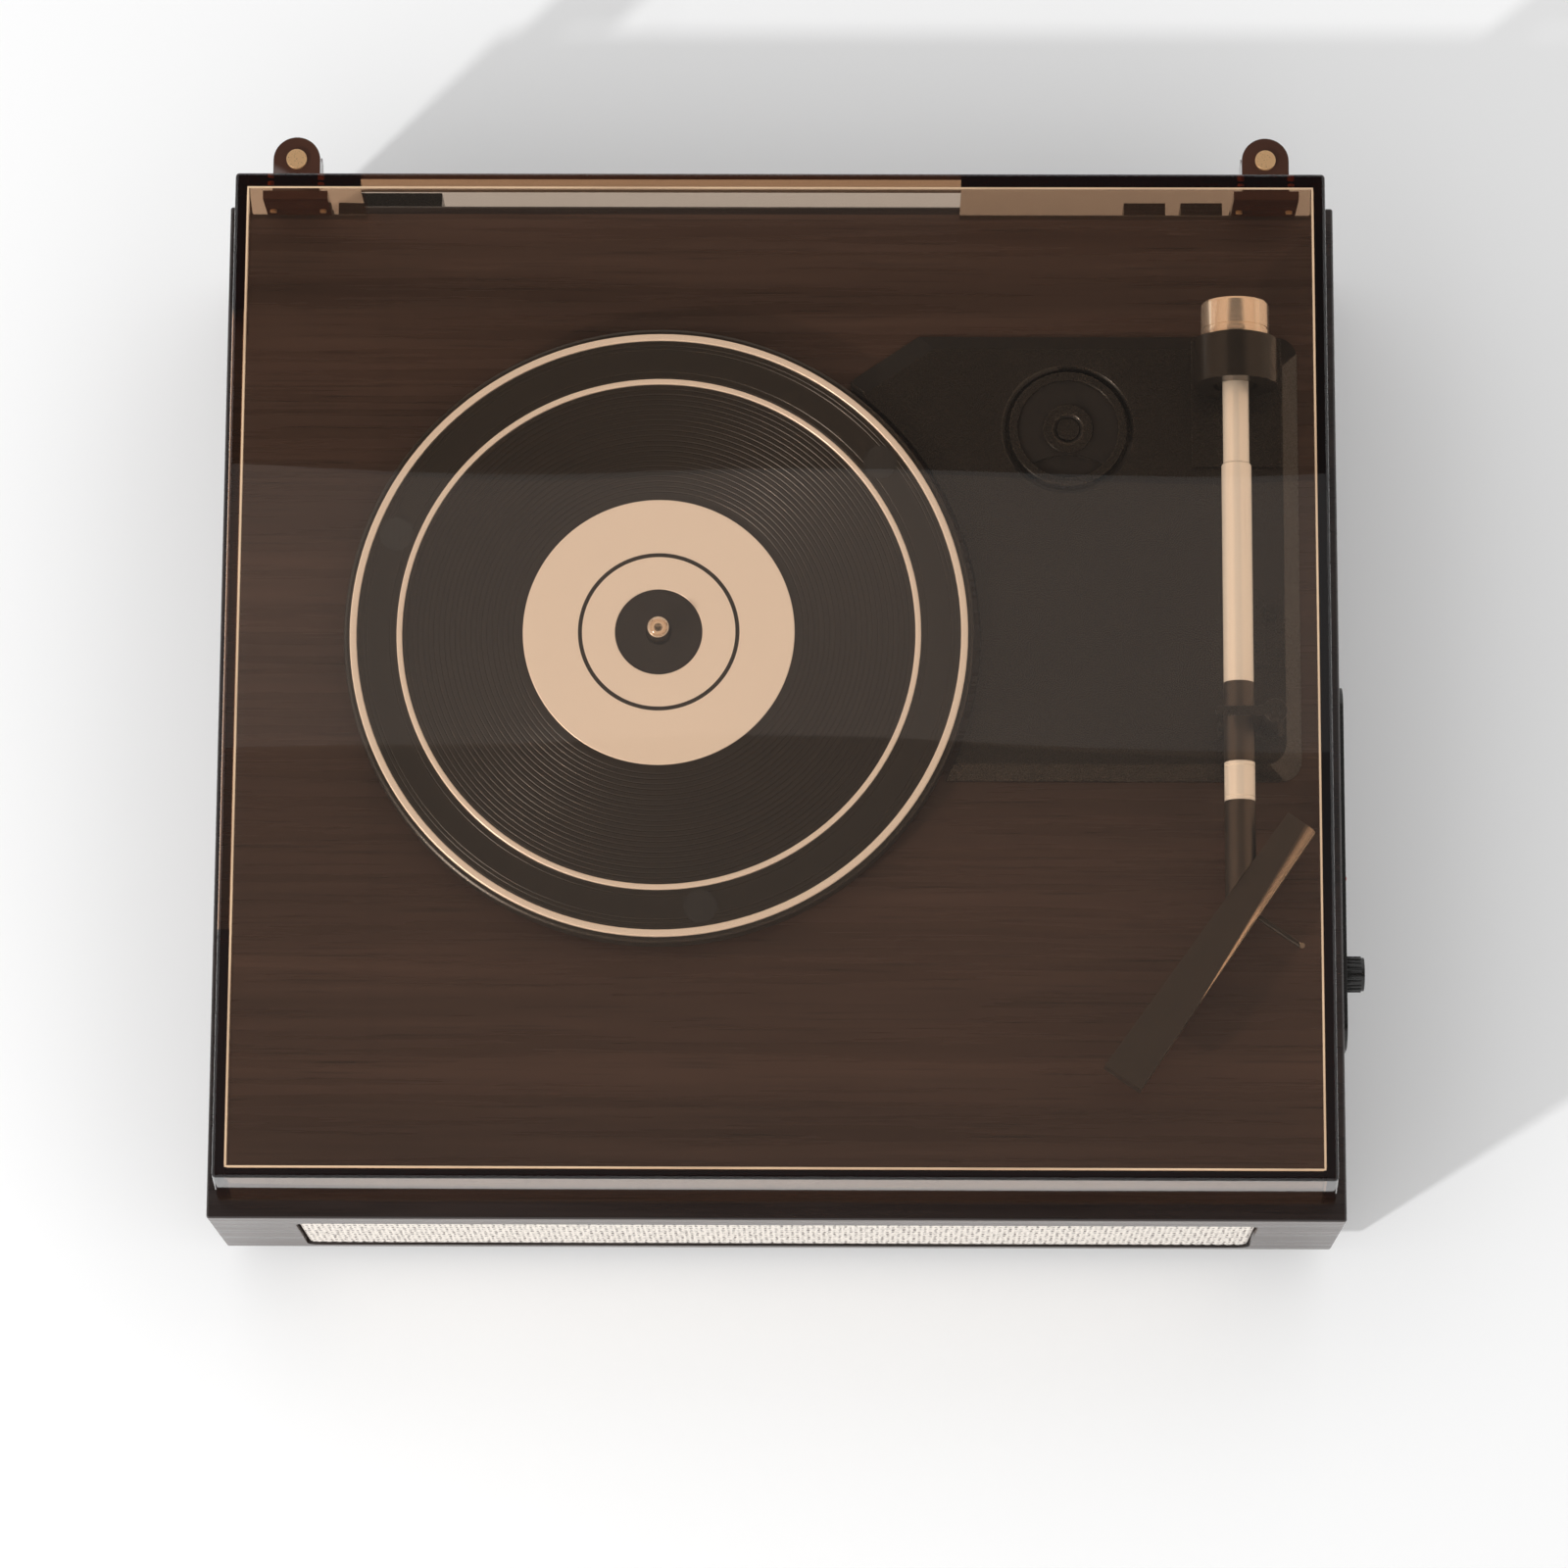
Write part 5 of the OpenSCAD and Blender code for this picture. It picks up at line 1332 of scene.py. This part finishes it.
    def lift(self) -> None:
        """Dress the finger lift, dark with a bright end."""
        form = Form("finger_lift")
        end = max(v.co.x for v in form.mesh.verts) - self.lift_tip
        form.cut((end, 0, 0), across(0))
        for face in form.mesh.faces:
            face.material_index = int(face.calc_center_median().x > end)
        form.finish("finger_lift_rod", [LIFT_DARK, CHROME], "tonearm", ["finger_lift"])

    def build(self) -> None:
        """Build the arm from its pivot to the head."""
        eased("pivot_housing", HOUSING_BLACK, 0.5)
        self.tube()
        self.collar()
        self.weight()
        eased("arm_sleeves", ARM_BLACK)
        self.head()
        eased("cartridge", BLACK, 0.3)
        eased("stylus", DIAMOND)
        self.lift()


@dataclass
class DustCover:
    """Tinted cover: leaning walls under a flat top, with openings at the left and the rear."""

    left: float = -180.95
    right: float = 172.05
    front: float = -170.45
    rear: float = 156.45
    low: float = 75.0
    high: float = 115.0
    wall: float = 3.6
    top: float = 4.0
    lean: float = 2.1
    edge: float = 1.2
    opening_top: float = 104.0
    opening_left: Span = (-88.95, 113.05)
    opening_rear: Span = (-139.25, 53.75)
    wall_area: float = 2000.0
    top_area: float = 10000.0
    seam_w: float = 0.5
    seam_gap: float = 0.25
    seam_low: float = 0.35
    seam_high: float = 0.02

    def lean_at(self, height: float) -> float:
        """Give how far the walls lean inwards at a height."""
        return self.lean * (height - self.low) / (self.high - self.low)

    def shell(self, form: Form, inset: float, high: float) -> list[Face]:
        """Add one open shell of the cover, leaning inwards as it rises.

        Args:
            form: Form that takes the shell.
            inset: Distance inside the outer faces.
            high: Height of the shell's flat top.

        Returns:
            The shell's faces after its edges are rounded.
        """
        made = form.block((-1, -1, -1), (1, 1, 1))
        for v in made:
            drift = self.lean_at(high) if v.co.z > 0 else 0.0
            v.co = Vector((
                self.right - inset - drift if v.co.x > 0 else self.left + inset + drift,
                self.rear - inset if v.co.y > 0 else self.front + inset + drift,
                high if v.co.z > 0 else self.low,
            ))
        floor = [f for f in faces_of(made) if f.calc_center_median().z < self.low + 0.01]
        bmesh.ops.delete(form.mesh, geom=floor, context="FACES")
        kept = faces_of(made)
        old = set(form.mesh.faces) - set(kept)
        form.ease([e for e in edges_of(kept) if len(e.link_faces) == 2], self.edge, 3)
        return [f for f in form.mesh.faces if f not in old]

    def open_wall(self, form: Form, faces: Sequence[Face], axis: int, span: Span) -> None:
        """Cut an opening into the lower part of one wall.

        Args:
            form: Form that holds the wall.
            faces: The wall's face, alone in the list.
            axis: Axis that the opening runs along, 0 or 1.
            span: Both ends of the opening.
        """
        work = faces
        for place in span:
            work = form.cut(across(axis) * place, across(axis), work)
        work = [f for f in work if span[0] < f.calc_center_median()[axis] < span[1]]
        work = form.cut(across(2) * self.opening_top, across(2), work)
        gone = [f for f in work if f.calc_center_median().z < self.opening_top]
        bmesh.ops.delete(form.mesh, geom=gone, context="FACES")

    def cover(self) -> None:
        """Build the cover with its two openings."""
        form = Form()
        for inset, high in ((0.0, self.high), (self.wall, self.high - self.top)):
            walls = [f for f in self.shell(form, inset, high) if f.calc_area() > self.wall_area]
            left = [f for f in walls if f.normal.x < -0.95]
            rear = [f for f in walls if f.normal.y > 0.95]
            self.open_wall(form, left, 1, self.opening_left)
            self.open_wall(form, rear, 0, self.opening_rear)
        bmesh.ops.bridge_loops(form.mesh, edges=[e for e in form.mesh.edges if e.is_boundary])
        form.turn_out()
        for face in form.mesh.faces:
            face.material_index = int(face.calc_center_median().z < self.low + 0.01)
        cover = form.finish("tinted_cover", [TINTED, MATT_RIM], "dust_cover", ["dust_cover"], 28.0)
        cover.visible_shadow = False
        cover.visible_diffuse = False

    def seams(self) -> None:
        """Lay the pale cement line in the corner under the cover's top."""
        form = Form()
        under = self.high - self.top
        reach = self.wall + self.lean_at(under) + self.seam_gap
        made = form.block(
            (self.left + reach, self.front + reach, under - self.seam_low),
            (self.right - reach, self.rear - self.wall - self.seam_gap, under - self.seam_high),
        )
        flat = [f for f in faces_of(made) if abs(f.normal.z) > 0.9]
        bmesh.ops.inset_region(form.mesh, faces=flat, thickness=self.seam_w, use_even_offset=True)
        middles = [f for f in form.mesh.faces if f.calc_area() > self.top_area]
        loops = edges_of(middles)
        bmesh.ops.delete(form.mesh, geom=middles, context="FACES_ONLY")
        bmesh.ops.bridge_loops(form.mesh, edges=loops)
        form.turn_out()
        form.finish("cement_line", [CEMENT], "dust_cover")

    def build(self) -> None:
        """Build the cover, its seam and the hinges."""
        self.cover()
        self.seams()
        eased("hinge_arms", BROWN_ACRYLIC, 0.5)
        eased("hinge_screws", BRASS, 0.2)
        eased("hinge_brackets", DARK_METAL, 0.3)


@dataclass
class Sockets:
    """Control panel on the right side and the sockets on the rear."""

    phones: Point = (178.75, -29.55, 44.7)
    line_x: Span = (114.65, 133.25)
    line_yz: Span = (164.95, 57.2)
    jack_r: float = 1.8
    sunk: float = 0.3

    def rings(self) -> None:
        """Turn the metal rings in the mouths of the sockets."""
        x, y, z = self.phones
        r = self.jack_r
        outline = [(r, -3.0), (r + 0.9, -3.0), (r + 0.9, 0.1), (r + 0.6, 0.25), (r + 0.2, 0.15), (r, -0.1)]
        form = Form()
        form.lathe(outline, (x - self.sunk, y, z), Axis.RIGHT, 48)
        for x in self.line_x:
            form.lathe(outline, (x, self.line_yz[0] - self.sunk, self.line_yz[1]), Axis.REAR, 48)
        form.finish("socket_rings", [BRIGHT], "cabinet")

    def build(self) -> None:
        """Build the panel, the knob and the sockets."""
        eased("control_panel", BLACK, 0.5)
        eased("volume_knob", BLACK, 0.2)
        eased("phones_socket", BLACK, 0.25)
        eased("power_lamp", LAMP_RED)
        eased("power_inlet", BLACK, 0.5)
        eased("line_sockets", BLACK, 0.5)
        self.rings()


# ---------------------------------------------------------------- studio


@dataclass(frozen=True)
class Lamp:
    """An area lamp, round where both of its sizes are the same, turned to a point."""

    name: str
    at: Point
    size: Span
    power: float
    aim: Point = (0, 0, 0)

    def hang(self) -> None:
        """Add the lamp to the scene."""
        light = bpy.data.lights.new(self.name, "AREA")
        light.shape = "RECTANGLE" if self.size[0] != self.size[1] else "DISK"
        light.size, light.size_y = self.size
        light.energy = self.power
        lamp = bpy.data.objects.new(self.name, light)
        lamp.location = self.at
        lamp.rotation_euler = (Vector(self.aim) - Vector(self.at)).to_track_quat("-Z", "Y").to_euler()
        bpy.context.scene.collection.objects.link(lamp)


@dataclass
class Studio:
    """Pale floor, soft light and the camera above the part."""

    floor_tone: Colour = (0.94, 0.94, 0.94)
    floor_size: float = 6.0
    side_light: float = 1.05
    zenith_light: float = 0.12
    zenith_fade: Span = (0.80, 0.93)
    lamps: tuple[Lamp, ...] = (
        Lamp("key_lamp", (-1.60, -1.30, 1.34), (0.12, 0.12), 27.0),
        Lamp("front_panel_light", (0.1, 0.24, 2.0), (1.6, 0.28), 0.195, (0.1, 0.24, 0.0)),
        Lamp("overhead_panel", (0.1, 0.47, 2.0), (1.6, 0.182), 0.36, (0.1, 0.47, 0.0)),
    )
    lens: float = 140.16
    sensor: float = 36.0
    far: float = 50.0
    eye: Point = (18.95, -438.41, 1987.18)
    tilt: float = 11.9274
    roll: float = -2.8429
    yaw: float = 3.0538

    def floor(self) -> None:
        """Lay the floor with a faint cloudy tone."""
        mesh = bmesh.new()
        bmesh.ops.create_grid(mesh, x_segments=8, y_segments=8, size=self.floor_size)
        data = bpy.data.meshes.new("studio_floor")
        mesh.to_mesh(data)
        mesh.free()
        paint = Paint("pale_floor")
        paint.set(
            Base_Color=paint.mottle(paint.noise(paint.where(), 3.0, 2.0), self.floor_tone, 0.99, 1.0),
            Roughness=0.9,
            Specular_IOR_Level=0.0,
        )
        data.materials.append(paint.material)
        floor = bpy.data.objects.new("studio_floor", data)
        bpy.context.scene.collection.objects.link(floor)

    def light(self) -> None:
        """Set the surroundings, darker overhead, and hang the lamps."""
        world = bpy.data.worlds.new("even_studio")
        world.use_nodes = True
        tree = world.node_tree
        sky = tree.nodes["Background"]
        sky.inputs["Color"].default_value = (1.0, 1.0, 1.0, 1.0)
        place = tree.nodes.new("ShaderNodeTexCoord")
        split = tree.nodes.new("ShaderNodeSeparateXYZ")
        fade = tree.nodes.new("ShaderNodeMapRange")
        fade.interpolation_type = "SMOOTHSTEP"
        numbers = (*self.zenith_fade, self.side_light, self.zenith_light)
        for key, number in zip(("From Min", "From Max", "To Min", "To Max"), numbers):
            fade.inputs[key].default_value = number
        tree.links.new(place.outputs["Generated"], split.inputs[0])
        tree.links.new(split.outputs["Z"], fade.inputs["Value"])
        tree.links.new(fade.outputs["Result"], sky.inputs["Strength"])
        bpy.context.scene.world = world
        for lamp in self.lamps:
            lamp.hang()

    def camera(self) -> None:
        """Set the camera at the place the part is seen from."""
        t, r, y = (math.radians(a) for a in (self.tilt, self.roll, self.yaw))
        spin = Matrix.Rotation(y, 3, "Z")
        ahead = spin @ Vector((0, math.sin(t), -math.cos(t)))
        up = spin @ Vector((0, math.cos(t), math.sin(t)))
        side = spin @ Vector((1, 0, 0))
        rightward = math.cos(r) * side + math.sin(r) * up
        upward = -math.sin(r) * side + math.cos(r) * up
        pose = Matrix((rightward, upward, -ahead)).transposed().to_4x4()
        pose.translation = Vector(self.eye) * MM
        view = bpy.data.cameras.new("view")
        view.lens = self.lens
        view.sensor_width = self.sensor
        view.clip_end = self.far
        eye = bpy.data.objects.new("view", view)
        eye.matrix_world = pose
        bpy.context.scene.collection.objects.link(eye)
        bpy.context.scene.camera = eye

    def build(self) -> None:
        """Build the floor, the light and the camera."""
        bpy.context.scene.view_settings.view_transform = "Standard"
        self.camera()
        self.floor()
        self.light()


def main() -> None:
    """Build the studio and every sub-assembly."""
    logging.basicConfig(level=logging.INFO, format="%(message)s")
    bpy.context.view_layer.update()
    for assembly in (
        Studio(), Cabinet(), Grille(), InnerWorks(), Platter(), ArmBase(), Tonearm(), DustCover(), Sockets()
    ):
        log.info("building %s", type(assembly).__name__)
        assembly.build()


if __name__ == "__main__":
    main()
